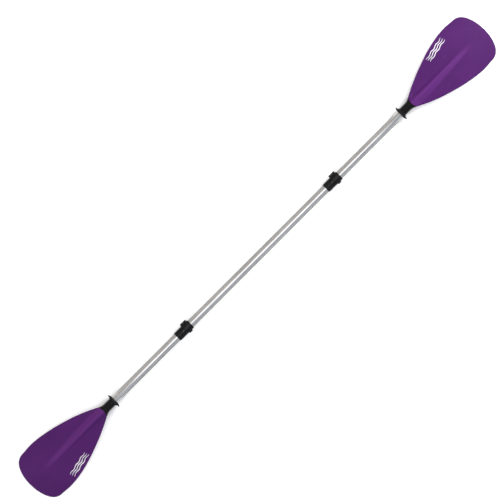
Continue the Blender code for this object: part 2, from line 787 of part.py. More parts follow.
def make_half(side):
    """The blade end and the clamp of one half."""
    make_blade(side)
    make_neck_sleeve(side)
    make_drip_ring(side)
    make_blade_pin(side)
    make_ferrule(side)
    make_plug(side + "_ferrule_plug", FERRULE_PLUG_SPAN, FERRULE_BORE - CLEARANCE, COLLAR_START[side])
    make_collar(side)
    make_bush(side)
    make_bolt(side)
    make_nut(side)
    make_washer(side)
    make_pin(side)
    make_lever(side)
    make_rivet(side)


def main():
    clear_objects()
    make_tubes()
    make_plug("middle_tube_plug", MIDDLE_PLUG_SPAN, TUBE_BORE - CLEARANCE, 0.0)
    make_plug("right_tube_plug", RIGHT_PLUG_SPAN, TUBE_BORE - CLEARANCE, 0.0)
    for side in COLLAR_START:
        make_half(side)


main()
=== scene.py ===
"""Looks for the take-down kayak paddle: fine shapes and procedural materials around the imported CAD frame.

Metres, in the CAD's frame: X along the shaft, Y across the blades, Z up. The left half is the one at -X.
"""

import json
import math

import bmesh
import bpy
from mathutils import Matrix, Vector


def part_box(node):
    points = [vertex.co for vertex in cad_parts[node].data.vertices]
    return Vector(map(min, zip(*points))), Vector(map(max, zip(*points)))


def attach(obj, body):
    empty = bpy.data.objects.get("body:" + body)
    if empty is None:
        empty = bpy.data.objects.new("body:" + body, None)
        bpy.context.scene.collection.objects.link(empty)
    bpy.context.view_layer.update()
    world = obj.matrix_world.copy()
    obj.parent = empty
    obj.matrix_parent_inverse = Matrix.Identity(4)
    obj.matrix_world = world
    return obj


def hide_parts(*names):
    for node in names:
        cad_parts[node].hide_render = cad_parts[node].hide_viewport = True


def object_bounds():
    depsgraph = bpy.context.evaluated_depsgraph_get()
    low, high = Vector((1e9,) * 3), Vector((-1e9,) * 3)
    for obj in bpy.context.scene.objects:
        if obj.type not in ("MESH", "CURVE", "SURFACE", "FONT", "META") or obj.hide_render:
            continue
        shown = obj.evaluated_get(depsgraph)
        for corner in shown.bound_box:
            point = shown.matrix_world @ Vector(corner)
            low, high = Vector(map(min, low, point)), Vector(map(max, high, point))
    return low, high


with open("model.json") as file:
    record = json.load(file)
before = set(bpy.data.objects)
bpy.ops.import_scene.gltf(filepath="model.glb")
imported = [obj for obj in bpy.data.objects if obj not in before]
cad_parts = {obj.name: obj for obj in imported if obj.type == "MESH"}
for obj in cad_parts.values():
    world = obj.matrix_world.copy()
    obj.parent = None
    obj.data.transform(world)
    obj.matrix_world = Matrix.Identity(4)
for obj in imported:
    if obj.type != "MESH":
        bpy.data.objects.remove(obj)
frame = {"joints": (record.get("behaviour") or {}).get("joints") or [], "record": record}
CAD_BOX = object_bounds()

MM = 0.001
SIDES = ("left", "right")
UP = (0.0, 0.0, 1.0)
AHEAD = (1.0, 0.0, 0.0)
BEHIND = (-1.0, 0.0, 0.0)
JOINTS = {joint["name"]: joint for joint in frame["joints"]}
GROUPS = frame["record"]["behaviour"]["bodies"]
BODY_OF = {node: body for body, nodes in GROUPS.items() for node in nodes}

# Places read from the frame.
TUBE_LOW, TUBE_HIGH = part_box("middle_shaft_tube")
SHAFT_Z = (TUBE_LOW.z + TUBE_HIGH.z) / 2.0
TUBE_RADIUS = (TUBE_HIGH.z - TUBE_LOW.z) / 2.0
COLLAR_X = {side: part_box(side + "_clamp_collar")[0].x for side in SIDES}
PIVOT = {side: Vector(JOINTS[side + "_lever_open"]["pos_m"]) for side in SIDES}
BOLT_Y = PIVOT["left"].y
PIVOT_Z = PIVOT["left"].z - SHAFT_Z
EAR_CENTRE = PIVOT["left"].x - COLLAR_X["left"]
TIP_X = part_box("right_blade")[1].x

# Round pieces.
FINE_STEPS = 96
SMALL_STEPS = 40
ROUND_POINTS = 4
CORNER_SHARE = 0.45
BLOCK_STEPS = 4
SHARP_ANGLE = 36.0
CLEARANCE = 0.3 * MM
TIGHT_GAP = CLEARANCE / 3.0
PIN_GAP = CLEARANCE / 2.0
CUT_OVERRUN = 2.0 * MM

# Tubes and ferrules.
TUBE_BORE = 13.1 * MM
TUBE_ROUNDING = 0.35 * MM
FERRULE_RADIUS = 12.8 * MM
FERRULE_BORE = 11.3 * MM
PLUG_ROUNDING = 1.0 * MM

# Clamp collar, measured along X from the end of its plain sleeve.
COLLAR_LENGTH = 65.8 * MM
COLLAR_BORE = TUBE_RADIUS + CLEARANCE
SLEEVE_RADIUS = 17.5 * MM
BAND_START = 35.0 * MM
BAND_RADIUS = 18.0 * MM
MOUTH_START = 40.9 * MM
MOUTH_BORE = 16.3 * MM
COLLAR_ROUNDING = 1.4 * MM
SLOT_START = 35.6 * MM
SLOT_HALF = 1.5 * MM
EAR_HALF_LENGTH = 13.5 * MM
EAR_INNER_Y = 15.4 * MM
EAR_OUTER_Y = 25.0 * MM
EAR_HALF_HEIGHT = 6.6 * MM
EAR_ROUNDING = 1.8 * MM
BOLT_RADIUS = 2.0 * MM
BOLT_END_Z = -11.4 * MM
EYE_RADIUS = 3.6 * MM
EYE_HALF_LENGTH = 3.0 * MM
NUT_FLAT = 3.5 * MM
NUT_SIDES = 6
NUT_SPAN = (-10.4 * MM, -6.9 * MM)
WASHER_SPAN = (6.9 * MM, 7.7 * MM)
WASHER_Y = (17.6 * MM, 24.0 * MM)
WASHER_HALF_LENGTH = 11.0 * MM
WASHER_STEPS = 2
BUSH_START = 41.2 * MM
BUSH_RADIUS = 16.0 * MM
BUSH_LIP_START = 66.1 * MM
BUSH_LIP_RADIUS = 16.9 * MM
BUSH_END = 67.2 * MM
BUSH_SLIT_HALF = 0.8 * MM

# Cam lever. Angles are about the shaft, from +Y to +Z.
CHEEK_RADIUS = 4.0 * MM
CHEEK_OFFSET = 0.5 * MM
CHEEK_HALF_LENGTH = 12.0 * MM
LEVER_SLOT_RADIUS = 5.0 * MM
PIN_RADIUS = 2.0 * MM
PIN_HALF_LENGTH = 11.4 * MM
ARM_ROOT_INNER = (19.8 * MM, 9.9 * MM)
ARM_ROOT_OUTER = (21.2 * MM, 15.6 * MM)
ARM_START_ANGLE = 43.0
ARM_END_ANGLE = 190.0
ARM_STATIONS = 44
ARM_INNER = 18.6 * MM
ARM_THICKNESS = 2.9 * MM
ARM_ROOT_EXTRA = 0.9 * MM
ARM_TIP_LIFT = 0.9 * MM
ARM_WIDE_HALF = 12.0 * MM
ARM_NARROW_HALF = 6.5 * MM
ARM_CORNER = 1.0 * MM
ARM_TIP_SHARE = 0.82
ARM_ROOT_SHARE = 0.30

# Rivet through the collar, the tube and the ferrule.
RIVET_X = 31.5 * MM
RIVET_RADIUS = 1.6 * MM
RIVET_HEAD_RADIUS = 3.2 * MM
RIVET_HEAD_HEIGHT = 1.3 * MM
RIVET_UPSET_RADIUS = 2.5 * MM
RIVET_UPSET = (9.6 * MM, 10.6 * MM)

# Drip ring, measured from its domed face.
RING_LENGTH = 12.4 * MM
RING_DOME_RADIUS = 15.0 * MM
RING_DOME_DEPTH = 6.5 * MM
RING_DOME_POINTS = 20
RIM_RADIUS = 29.7 * MM
RIM_TIP = 0.9 * MM
RING_NOTCH = (8.3 * MM, 18.3 * MM)
LIP_RADIUS = 18.9 * MM
LIP_SPAN = (8.8 * MM, 11.4 * MM)
RING_ROUNDING = 0.3 * MM

# Blade, measured outwards from the shoulder where it starts to flare.
BLADE_LENGTH = 382.0 * MM
TIP_GAP = 0.04 * MM
SHOULDER_X = TIP_X - BLADE_LENGTH
SPIGOT_END = -91.0 * MM
SPIGOT_CHAMFER = 1.5 * MM
NECK_RADIUS = 16.1 * MM
SLEEVE_INSET = NECK_RADIUS - FERRULE_RADIUS
BLADE_WIDTHS_MM = (
    (-8.0, 32.2),
    (-2.0, 34.8),
    (4.0, 39.2),
    (12.0, 46.2),
    (22.0, 56.0),
    (37.0, 68.8),
    (67.0, 93.2),
    (98.0, 118.6),
    (128.0, 139.7),
    (159.0, 159.7),
    (190.0, 176.9),
    (220.0, 189.7),
    (251.0, 199.8),
    (285.0, 204.0),
    (317.0, 199.6),
)
TIP_BULGE = 2.7
TIP_SQUARENESS = 0.51
BIG_SIDE_SHARE = 0.521
BLADE_FLATTEN = (13.0 * MM, 40.0 * MM)
SPINE_END = 316.0 * MM
SPINE_FADE = 1.5
SPINE_SOFT_SHARE = 0.4
DOME_REACH = 60.0 * MM
DOME_END_POWER = 2.0
SPINE_LEAN = 3.0 * MM
SPINE_STEEP_END = 8.0 * MM
SPINE_GENTLE_MM = (
    (0.0, 16.1),
    (40.0, 22.0),
    (90.0, 27.0),
    (150.0, 24.0),
    (210.0, 20.0),
    (270.0, 15.0),
    (316.0, 8.0),
)
BACK_RIB_END = 120.0 * MM
PLATE_THICKNESS = 4.0 * MM
PLATE_ROOT_EXTRA = 4.0 * MM
PLATE_ROOT_REACH = 60.0 * MM
EDGE_SHARE = 0.38
EDGE_POWER = 2.5
TIP_THINNING = 300.0 * MM
SCOOP_DROP = 29.6 * MM
SCOOP_POWER = 1.8
DIHEDRAL_DROP = 5.0 * MM
WIDEST_HALF = 101.5 * MM
SECTION_TURN = math.radians(84.0)
SPREAD_POWER = 1.25
LEAN_SHARE = 0.6
SECTION_POINTS = 75
RIM_POINTS = 5
BLADE_STATIONS = 120
STATION_EASE = 0.75

# Neck sleeve over the blade's root.
NECK_START = -30.6 * MM
NECK_ROUNDING = 0.8 * MM
NECK_ROUND_STEP = (NECK_ROUNDING / 3.0, NECK_ROUNDING / 4.0)
NECK_END = 11.4 * MM
NECK_STATIONS = 26
STEP_START = 11.8 * MM
STEP_END = 12.1 * MM
NECK_PROUD = 0.3 * MM
NECK_PROUD_FADE = 50.0 * MM
NECK_EDGE_REACH = 6.0 * MM
NECK_EDGE_SPAN = (-24.0 * MM, -2.0 * MM)
NECK_EDGE_FADE = 60.0 * MM

# Blade pin.
BLADE_PIN_X = 692.0 * MM
BLADE_PIN_RADIUS = 1.75 * MM
BLADE_PIN_SPAN = (-14.1 * MM, -6.0 * MM)

# Small metal pieces.
STEEL_ROUNDING = 0.4 * MM
NUT_CHAMFER = 0.7 * MM
RIVET_DOME_POINTS = 9
CHEEK_ROUNDING = 0.8 * MM

# Generic printed mark: three waves on the wide side of each blade.
MARK_ROWS = 3
MARK_SPAN_Y = (66.0 * MM, 80.5 * MM)
MARK_SLOPE = 0.21
MARK_START = 164.0 * MM
MARK_LENGTH = 92.0 * MM
MARK_STAGGER = -3.0 * MM
MARK_SWING = 1.6 * MM
MARK_WAVES = 3.0
MARK_PHASE = 0.6
MARK_HALF = 1.5 * MM
MARK_END_TURN = 0.02
MARK_TAPER = 0.45
MARK_STATIONS = 90
MARK_ACROSS = (-1.0, -0.5, 0.0, 0.5, 1.0)
MARK_PROUD = 0.12 * MM
MARK_DEPTH = 0.3 * MM
MARK_SEARCH = 26

# Looks. The rib's painted light band, a lighter colour that stands in for light falling on the rib's gentle
# flank and crest, is measured across the blade, towards the big side.
BLADE_COLOURS = ((0.061, 0.0106, 0.101), (0.072, 0.0128, 0.117))
FIBRE_COLOUR = (0.100, 0.022, 0.150)
SCUFF_COLOUR = (0.240, 0.150, 0.300)
BLADE_ROUGHNESS = 0.5
BLADE_SPECULAR = 0.08
RIB_REACH = (30.0 * MM, 14.0 * MM)
RIB_RISE = 0.5
RIB_CREST = -1.0 * MM
RIB_FOOT = 10.0 * MM
RIB_FADE = 0.78
RIB_FADE_END = 1.05
# Painted light: the rib's gentle flank and crest are mixed this far towards a lighter colour, which stands in
# for light falling on them.
RIB_PAINTED_LIGHT = 0.9
RIB_LIT_COLOUR = (0.104, 0.0215, 0.158)
WEAR_COLOUR = (0.05, 0.05, 0.05)
PLASTICS = {
    # darker and lighter colour, roughness, specular level, scale and depth of the grain
    "neck_gloss": ((0.002, 0.002, 0.002), (0.004, 0.004, 0.005), 0.14, 0.22, 700.0, 0.00001),
    "ring_rubber": ((0.003, 0.003, 0.0035), (0.006, 0.006, 0.007), 0.5, 0.22, 1100.0, 0.00005),
    "collar_nylon": ((0.002, 0.002, 0.002), (0.004, 0.004, 0.005), 0.3, 0.22, 1300.0, 0.00004),
    "lever_nylon": ((0.002, 0.002, 0.002), (0.004, 0.004, 0.005), 0.28, 0.24, 1300.0, 0.00004),
    "bush_acetal": ((0.004, 0.004, 0.005), (0.008, 0.008, 0.009), 0.4, 0.3, 1300.0, 0.00003),
}
TUBE_TINT = (0.70, 0.70, 0.70)
# Painted shade: a dark edge tint dims the metal's reflection at grazing angles, so the tube's sides look
# darker than bare aluminium would.
TUBE_PAINTED_EDGE_SHADE = (0.12, 0.12, 0.12)
TUBE_ROUGHNESS = 0.22
FLOOR_COLOURS = ((0.90, 0.90, 0.90), (0.93, 0.93, 0.93))
FLOOR_GLOW = 0.18

# Studio. Panels are (name, centre, point they face, width, height, radiance, colour).
FLOOR_HALF = 30.0
FLOOR_DROP = 0.05 * MM
FLAG_REACH = 0.7
FLAG_SPAN = (22.0 * MM, 220.0 * MM)
FLAG_LIFT = 1.0 * MM
FLOOR_Z = min(CAD_BOX[0][2], 0.0) - FLOOR_DROP
SKY_STRENGTH = 1.0
SKY_STOPS = (
    (-1.0, (0.46, 0.48, 0.53)),
    (-0.4, (0.50, 0.52, 0.56)),
    (0.4, (0.55, 0.53, 0.50)),
    (1.0, (0.56, 0.53, 0.49)),
)
PANELS = (
    ("overhead_strip", (0.0, 0.0, 1.2), (0.0, 0.0, 0.0), 1.52, 0.9, 1.12, (1.0, 1.0, 1.0)),
    ("right_end_panel", (2.0, 0.0, 1.0), (0.9, 0.0, 0.0), 1.2, 1.2, 5.0, (1.0, 1.0, 1.0)),
    ("left_end_panel", (-2.0, 0.0, 1.0), (-0.9, 0.0, 0.0), 1.2, 1.2, 1.1, (1.0, 1.0, 1.0)),
)
SUNS = (
    ("right_sun", (1.0, 0.0, 0.9), 0.7),
    ("left_sun", (-1.0, 0.0, 0.9), 0.6),
)
SUN_ANGLE = 30.0
CAMERA_AT = (-0.0009, 0.0362, 19.70)
CAMERA_TURN = -45.0
LENS = 400.0


def smooth_step(value):
    t = min(max(value, 0.0), 1.0)
    return t * t * (3.0 - 2.0 * t)


def mix(a, b, t):
    return a + (b - a) * t


# ---------------------------------------------------------------- mesh helpers


def add_mesh(name, verts, faces):
    """A mesh object with its faces turned outwards."""
    mesh = bpy.data.meshes.new(name)
    mesh.from_pydata([tuple(v) for v in verts], [], faces)
    shape = bmesh.new()
    shape.from_mesh(mesh)
    bmesh.ops.recalc_face_normals(shape, faces=shape.faces)
    shape.to_mesh(mesh)
    shape.free()
    return add_object(name, mesh)


def add_object(name, mesh):
    obj = bpy.data.objects.new(name, mesh)
    bpy.context.scene.collection.objects.link(obj)
    shade(obj)
    return obj


def shade(obj):
    """Smooth shading, with edges over the sharp angle kept crisp."""
    obj.data.shade_smooth()
    obj.data.set_sharp_from_angle(angle=math.radians(SHARP_ANGLE))


def skin(name, rings, wrap=False):
    """Skin rings of equal point counts, capping the ends unless the last ring joins the first."""
    size, count = len(rings[0]), len(rings)
    verts = [point for ring in rings for point in ring]
    faces = []
    for k in range(count if wrap else count - 1):
        a, b = k * size, (k + 1) % count * size
        for i in range(size):
            j = (i + 1) % size
            faces.append((a + i, a + j, b + j, b + i))
    if not wrap:
        faces.append(tuple(range(size)))
        faces.append(tuple(range((count - 1) * size, count * size)))
    return add_mesh(name, verts, faces)


def soften(outline, radius, closed=True):
    """Round the corners of an outline with short arcs."""
    count = len(outline)
    points = []
    for k, (x, r) in enumerate(outline):
        if not closed and k in (0, count - 1):
            points.append((x, r))
            continue
        here = Vector((x, r))
        before = Vector(outline[k - 1]) - here
        after = Vector(outline[(k + 1) % count]) - here
        start = here + before.normalized() * min(radius, CORNER_SHARE * before.length)
        end = here + after.normalized() * min(radius, CORNER_SHARE * after.length)
        for i in range(ROUND_POINTS):
            t = i / (ROUND_POINTS - 1)
            point = start * (1.0 - t) ** 2 + here * 2.0 * t * (1.0 - t) + end * t * t
            points.append((point.x, point.y))
    return points


def turned(name, outline, origin, axis=AHEAD, steps=FINE_STEPS):
    """Turn a closed outline of (distance along the axis, radius) points about an axis through a point."""
    spin = Vector(AHEAD).rotation_difference(Vector(axis)).to_matrix()
    solid = outline[0][1] == 0.0
    verts, faces, count = [], [], len(outline)
    rings = []
    for along, radius in outline:
        if radius == 0.0:
            rings.append([len(verts)])
            verts.append(spin @ Vector((along, 0.0, 0.0)) + origin)
            continue
        rings.append(range(len(verts), len(verts) + steps))
        for i in range(steps):
            turn = math.tau * i / steps
            local = Vector((along, radius * math.cos(turn), radius * math.sin(turn)))
            verts.append(spin @ local + origin)
    for k in range(count - 1 if solid else count):
        a, b = rings[k], rings[(k + 1) % count]
        for i in range(steps):
            j = (i + 1) % steps
            if len(a) == 1:
                faces.append((a[0], b[i], b[j]))
            elif len(b) == 1:
                faces.append((a[i], b[0], a[j]))
            else:
                faces.append((a[i], b[i], b[j], a[j]))
    return add_mesh(name, verts, faces)


def rod(name, span, radius, rounding, origin, axis=AHEAD, steps=SMALL_STEPS):
    start, end = span
    outline = [(end, 0.0), (end, radius), (start, radius), (start, 0.0)]
    if rounding:
        outline = soften(outline, rounding, closed=False)
    return turned(name, outline, origin, axis, steps)


def pipe(name, span, bore, radius, rounding, origin, steps=FINE_STEPS):
    start, end = span
    outline = [(end, bore), (end, radius), (start, radius), (start, bore)]
    return turned(name, soften(outline, rounding), origin, steps=steps)


def block(name, lows, highs, rounding=0.0, segments=BLOCK_STEPS):
    """A box between two corners, with rounded edges."""
    shape = bmesh.new()
    bmesh.ops.create_cube(shape, size=1.0)
    for vert in shape.verts:
        vert.co = Vector(mix(lows[k], highs[k], vert.co[k] + 0.5) for k in range(3))
    if rounding:
        bmesh.ops.bevel(
            shape, geom=shape.edges[:], offset=rounding, segments=segments, profile=0.5, affect="EDGES"
        )
    mesh = bpy.data.meshes.new(name)
    shape.to_mesh(mesh)
    shape.free()
    return add_object(name, mesh)


def combine(obj, steps):
    """Apply (helper, operation) Booleans in order, and remove the helpers."""
    for helper, operation in steps:
        modifier = obj.modifiers.new(helper.name, "BOOLEAN")
        modifier.operation = operation
        modifier.object = helper
        modifier.solver = "EXACT"
    apply_modifiers(obj)
    for helper, _ in steps:
        bpy.data.objects.remove(helper, do_unlink=True)
    shade(obj)
    return obj


def apply_modifiers(obj):
    bpy.context.view_layer.update()
    graph = bpy.context.evaluated_depsgraph_get()
    mesh = bpy.data.meshes.new_from_object(obj.evaluated_get(graph))
    obj.modifiers.clear()
    obj.data = mesh


def stand_for(obj, node, material):
    """Let a piece take a CAD node's place, body and slot."""
    obj.data.materials.clear()
    obj.data.materials.append(material)
    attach(obj, BODY_OF[node])
    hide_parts(node)


# ---------------------------------------------------------------- blade shape


def interpolate(table, at):
    """A smooth curve through (position, value) pairs."""
    last = len(table) - 1
    k = 0
    while k < last - 1 and at > table[k + 1][0]:
        k += 1
    (x0, v0), (x1, v1) = table[k], table[k + 1]
    xa, va = table[max(k - 1, 0)]
    xb, vb = table[min(k + 2, last)]
    slope0 = (v1 - va) / (x1 - xa)
    slope1 = (vb - v0) / (xb - x0)
    span = x1 - x0
    t = (at - x0) / span
    t2, t3 = t * t, t * t * t
    return (
        (2 * t3 - 3 * t2 + 1) * v0
        + (t3 - 2 * t2 + t) * span * slope0
        + (3 * t2 - 2 * t3) * v1
        + (t3 - t2) * span * slope1
    )


def blade_half_width(distance):
    """Half of the blade's width, with a squarish rounded tip past the last tabled width."""
    corner, corner_width = (value * MM for value in BLADE_WIDTHS_MM[-1])
    if distance <= BLADE_WIDTHS_MM[0][0] * MM:
        return NECK_RADIUS
    if distance <= corner:
        return interpolate(BLADE_WIDTHS_MM, distance / MM) * MM / 2.0
    along = min((distance - corner) / (BLADE_LENGTH - corner), 1.0)
    return corner_width / 2.0 * (1.0 - along**TIP_BULGE) ** TIP_SQUARENESS


def spine_reach(distance, along, offset):
    """Width of the rib's flank: gentle on the small side of the blade, steep on the big side."""
    if offset > 0.0:
        return mix(NECK_RADIUS, SPINE_STEEP_END, along)
    at = min(max(distance, 0.0), SPINE_END)
    return interpolate(SPINE_GENTLE_MM, at / MM) * MM


def spine_bump(distance, y, end):
    """Height of the rounded central rib, which narrows and fades."""
    along = min(max(distance / end, 0.0), 1.0)
    offset = y - SPINE_LEAN * along
    across = min(abs(offset) / spine_reach(distance, along, offset), 1.0)
    soften_share = smooth_step(distance / (SPINE_SOFT_SHARE * end))
    dome = (1.0 - across * across) ** mix(0.5, DOME_END_POWER, smooth_step(distance / DOME_REACH))
    swell = math.cos(math.pi * across / 2.0) ** 2
    return NECK_RADIUS * (1.0 - along) ** SPINE_FADE * mix(dome, swell, soften_share)


def plate_half_thickness(distance, side):
    """Half the plate's thickness, which thins to the edges and to the tip."""
    thick = PLATE_THICKNESS + PLATE_ROOT_EXTRA * math.exp(-max(distance, 0.0) / PLATE_ROOT_REACH)
    tip = (distance - TIP_THINNING) / (BLADE_LENGTH - TIP_THINNING)
    return thick / 2.0 * (1.0 - (1.0 - EDGE_SHARE) * max(abs(side), tip) ** EDGE_POWER)


def edge_shift(distance, side):
    """How far a section's sides reach past its middle, so that the sleeve ends on a curve."""
    rise = (distance - NECK_EDGE_SPAN[0]) / (NECK_EDGE_SPAN[1] - NECK_EDGE_SPAN[0])
    fall = (distance - STEP_END) / NECK_EDGE_FADE
    return NECK_EDGE_REACH * side * side * smooth_step(rise) * (1.0 - smooth_step(fall))


def lean_at(distance):
    """How much wider the blade's big side is."""
    return (2.0 * BIG_SIDE_SHARE - 1.0) * smooth_step(distance / (LEAN_SHARE * BLADE_LENGTH))


def sag_at(distance, y, flat):
    """How far the blade's middle sheet lies below the shaft's axis."""
    drop = SCOOP_DROP * (max(distance, 0.0) / BLADE_LENGTH) ** SCOOP_POWER
    return drop + DIHEDRAL_DROP * (y / WIDEST_HALF) ** 2 * flat


def flatness(distance):
    """From 0 where the blade is still round to 1 where it is a plate."""
    return smooth_step((distance - BLADE_FLATTEN[0]) / (BLADE_FLATTEN[1] - BLADE_FLATTEN[0]))


def crown(distance, y, side):
    """Height of the blade's upper face over its middle sheet."""
    return plate_half_thickness(distance, side) + spine_bump(distance, y, SPINE_END)


def section(distance, inset):
    """One ring of the blade: round at the neck, turning into a ribbed plate with a rounded edge."""
    flat = flatness(distance)
    rim = flat * plate_half_thickness(distance, 1.0)
    half = max(blade_half_width(distance) - inset - rim, rim)
    lean = lean_at(distance)
    top, bottom = [], []
    for i in range(SECTION_POINTS):
        spread = 2.0 * i / (SECTION_POINTS - 1) - 1.0
        turn = SECTION_TURN * spread
        round_side = math.sin(turn) / math.sin(SECTION_TURN)
        plate_side = math.copysign(abs(spread) ** SPREAD_POWER, spread)
        side = mix(round_side, plate_side, flat)
        y = half * (side + lean * (1.0 - (1.0 - abs(side)) ** 2))
        x = distance + edge_shift(distance, side)
        sag = sag_at(distance, y, flat)
        ring = (1.0 - flat) * (NECK_RADIUS - inset) * math.cos(turn)
        back = plate_half_thickness(distance, side) + spine_bump(distance, y, BACK_RIB_END)
        top.append((x, y, ring + flat * crown(distance, y, side) - sag))
        bottom.append((x, y, -ring - flat * back - sag))
    return top + rim_points(top[-1], bottom[-1], rim) + bottom[::-1] + rim_points(bottom[0], top[0], -rim)


def rim_points(start, end, reach):
    """The rounded edge from one face to the other."""
    middle = (start[2] + end[2]) / 2.0
    points = []
    for i in range(1, RIM_POINTS + 1):
        turn = math.pi * i / (RIM_POINTS + 1)
        rise = math.cos(turn) * (start[2] - middle)
        points.append((start[0], start[1] + reach * math.sin(turn), middle + rise))
    return points


def placed(points, side):
    """Move points drawn outwards from the shoulder to one end of the paddle."""
    sign = 1.0 if side == "right" else -1.0
    return [(sign * (x + SHOULDER_X), sign * y, z + SHAFT_Z) for x, y, z in points]


def blade_stations():
    """Even steps from the sleeve's edge to the tip, closer together where the shape turns."""
    stations = []
    for i in range(BLADE_STATIONS):
        t = i / (BLADE_STATIONS - 1)
        eased = mix(t, math.sin(math.pi * t / 2.0), STATION_EASE)
        stations.append(mix(STEP_END, BLADE_LENGTH - TIP_GAP, eased))
    return stations


def make_blade(side):
    rings = [
        section(SPIGOT_END, SLEEVE_INSET + SPIGOT_CHAMFER),
        section(SPIGOT_END + SPIGOT_CHAMFER, SLEEVE_INSET),
        section(NECK_START, SLEEVE_INSET),
    ]
    for i in range(NECK_STATIONS):
        t = (i + 1) / NECK_STATIONS
        rings.append(section(mix(NECK_START, STEP_START, t), SLEEVE_INSET))
    for at in blade_stations():
        fade = 1.0 - smooth_step((at - STEP_END) / NECK_PROUD_FADE)
        rings.append(section(at, NECK_PROUD * fade))
    return skin(side + "_blade_skin", [placed(ring, side) for ring in rings])


def make_neck_sleeve(side):
    bore = SLEEVE_INSET - CLEARANCE
    along = [mix(NECK_START, NECK_END, i / (NECK_STATIONS - 1)) for i in range(NECK_STATIONS)]
    step, inset = NECK_ROUND_STEP
    outside = [section(NECK_START, NECK_ROUNDING), section(NECK_START + step, inset)]
    outside += [section(at, 0.0) for at in along[1:-1]]
    outside += [section(NECK_END - NECK_PROUD / 2.0, 0.0), section(NECK_END, NECK_PROUD / 2.0)]
    inside = [section(at, bore) for at in along[::-1]]
    return skin(side + "_neck_shell", [placed(ring, side) for ring in outside + inside], wrap=True)


# ---------------------------------------------------------------- marks


def side_at(distance, y, inset):
    """Where a point across the blade lies between its middle, 0, and its edges, -1 and 1."""
    rim = flatness(distance) * plate_half_thickness(distance, 1.0)
    half = blade_half_width(distance) - inset - rim
    lean = lean_at(distance)
    low, high = -1.0, 1.0
    for _ in range(MARK_SEARCH):
        side = (low + high) / 2.0
        if half * (side + lean * (1.0 - (1.0 - abs(side)) ** 2)) < y:
            low = side
        else:
            high = side
    return (low + high) / 2.0


def face_height(distance, y):
    """The blade's upper face, from the shaft's axis."""
    return crown(distance, y, side_at(distance, y, 0.0)) - sag_at(distance, y, 1.0)


def make_mark(side, row, print_look):
    """One wave of the printed mark, a thin layer on the blade's upper face."""
    rings = []
    centre = mix(MARK_SPAN_Y[0], MARK_SPAN_Y[1], row / (MARK_ROWS - 1))
    start = MARK_START + row * MARK_STAGGER
    for k in range(MARK_STATIONS):
        t = k / (MARK_STATIONS - 1)
        x = start + MARK_LENGTH * t
        lean = MARK_SLOPE * MARK_LENGTH * (t - 0.5)
        y = centre + lean + MARK_SWING * math.sin(math.tau * MARK_WAVES * t + row * MARK_PHASE)
        half = MARK_HALF * math.sin(math.pi * mix(MARK_END_TURN, 1.0 - MARK_END_TURN, t)) ** MARK_TAPER
        ring = []
        for across in MARK_ACROSS:
            y_at = y + across * half
            ring.append((x, y_at, face_height(x, y_at) + MARK_PROUD))
        ring += [(x_at, y_at, z - MARK_DEPTH) for x_at, y_at, z in ring[::-1]]
        rings.append(ring)
    mark = skin("%s_blade_mark_%d" % (side, row + 1), [placed(ring, side) for ring in rings])
    mark.data.materials.append(print_look)
    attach(mark, BODY_OF[side + "_blade"])


# ---------------------------------------------------------------- shaft pieces


def at_x(x, y=0.0, z=0.0):
    """A point given from the shaft's axis."""
    return Vector((x, y, SHAFT_Z + z))


def outward_x(side, x):
    """A distance out from the middle, as a place along X."""
    return x if side == "right" else -x


def span_x(node):
    """Where a CAD node starts and ends along X."""
    low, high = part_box(node)
    return low.x, high.x


def rivet_hole(side):
    """A helper that cuts the rivet's hole."""
    span = (RIVET_UPSET[0] - CLEARANCE, SLEEVE_RADIUS + CUT_OVERRUN)
    origin = at_x(COLLAR_X[side] + RIVET_X)
    return rod("cut_rivet_" + side, span, RIVET_RADIUS + TIGHT_GAP, 0.0, origin, UP)


def blade_pin_hole(side):
    """A helper that cuts the blade pin's hole."""
    span = (BLADE_PIN_SPAN[0] - CUT_OVERRUN, BLADE_PIN_SPAN[1] + CLEARANCE)
    origin = at_x(outward_x(side, BLADE_PIN_X))
    return rod("cut_blade_pin_" + side, span, BLADE_PIN_RADIUS + TIGHT_GAP, 0.0, origin, UP)


def make_tube(node, cutters):
    tube = pipe(node + "_wall", span_x(node), TUBE_BORE, TUBE_RADIUS, TUBE_ROUNDING, at_x(0.0))
    return combine(tube, [(cutter, "DIFFERENCE") for cutter in cutters])


def make_plug(node, radius):
    return rod(node + "_foam", span_x(node), radius, PLUG_ROUNDING, at_x(0.0), steps=FINE_STEPS)


def make_ferrule(side):
    span = span_x(side + "_ferrule")
    ferrule = pipe(side + "_ferrule_wall", span, FERRULE_BORE, FERRULE_RADIUS, TUBE_ROUNDING, at_x(0.0))
    return combine(ferrule, [(rivet_hole(side), "DIFFERENCE")])


def make_drip_ring(side):
    """A domed face, a thin rim, a dished back and a short lip next to the neck."""
    dome = []
    for i in range(RING_DOME_POINTS):
        t = i / (RING_DOME_POINTS - 1)
        dome.append((RING_DOME_DEPTH * t * t, mix(RING_DOME_RADIUS, RIM_RADIUS, t)))
    back = [
        (RING_DOME_DEPTH + RIM_TIP, RIM_RADIUS - RIM_TIP / 2.0),
        RING_NOTCH,
        (LIP_SPAN[0], LIP_RADIUS),
        (LIP_SPAN[1], LIP_RADIUS),
        (RING_LENGTH, NECK_RADIUS),
        (RING_LENGTH, COLLAR_BORE),
        (0.0, COLLAR_BORE),
    ]
    corners = dome[-2:] + back + dome[:1]
    outline = dome[:-1] + soften(corners, RING_ROUNDING, closed=False)[1:-1]
    low_x, high_x = span_x(side + "_drip_ring")
    face_x, axis = (low_x, AHEAD) if side == "right" else (high_x, BEHIND)
    return turned(side + "_ring_moulding", outline, at_x(face_x), axis)


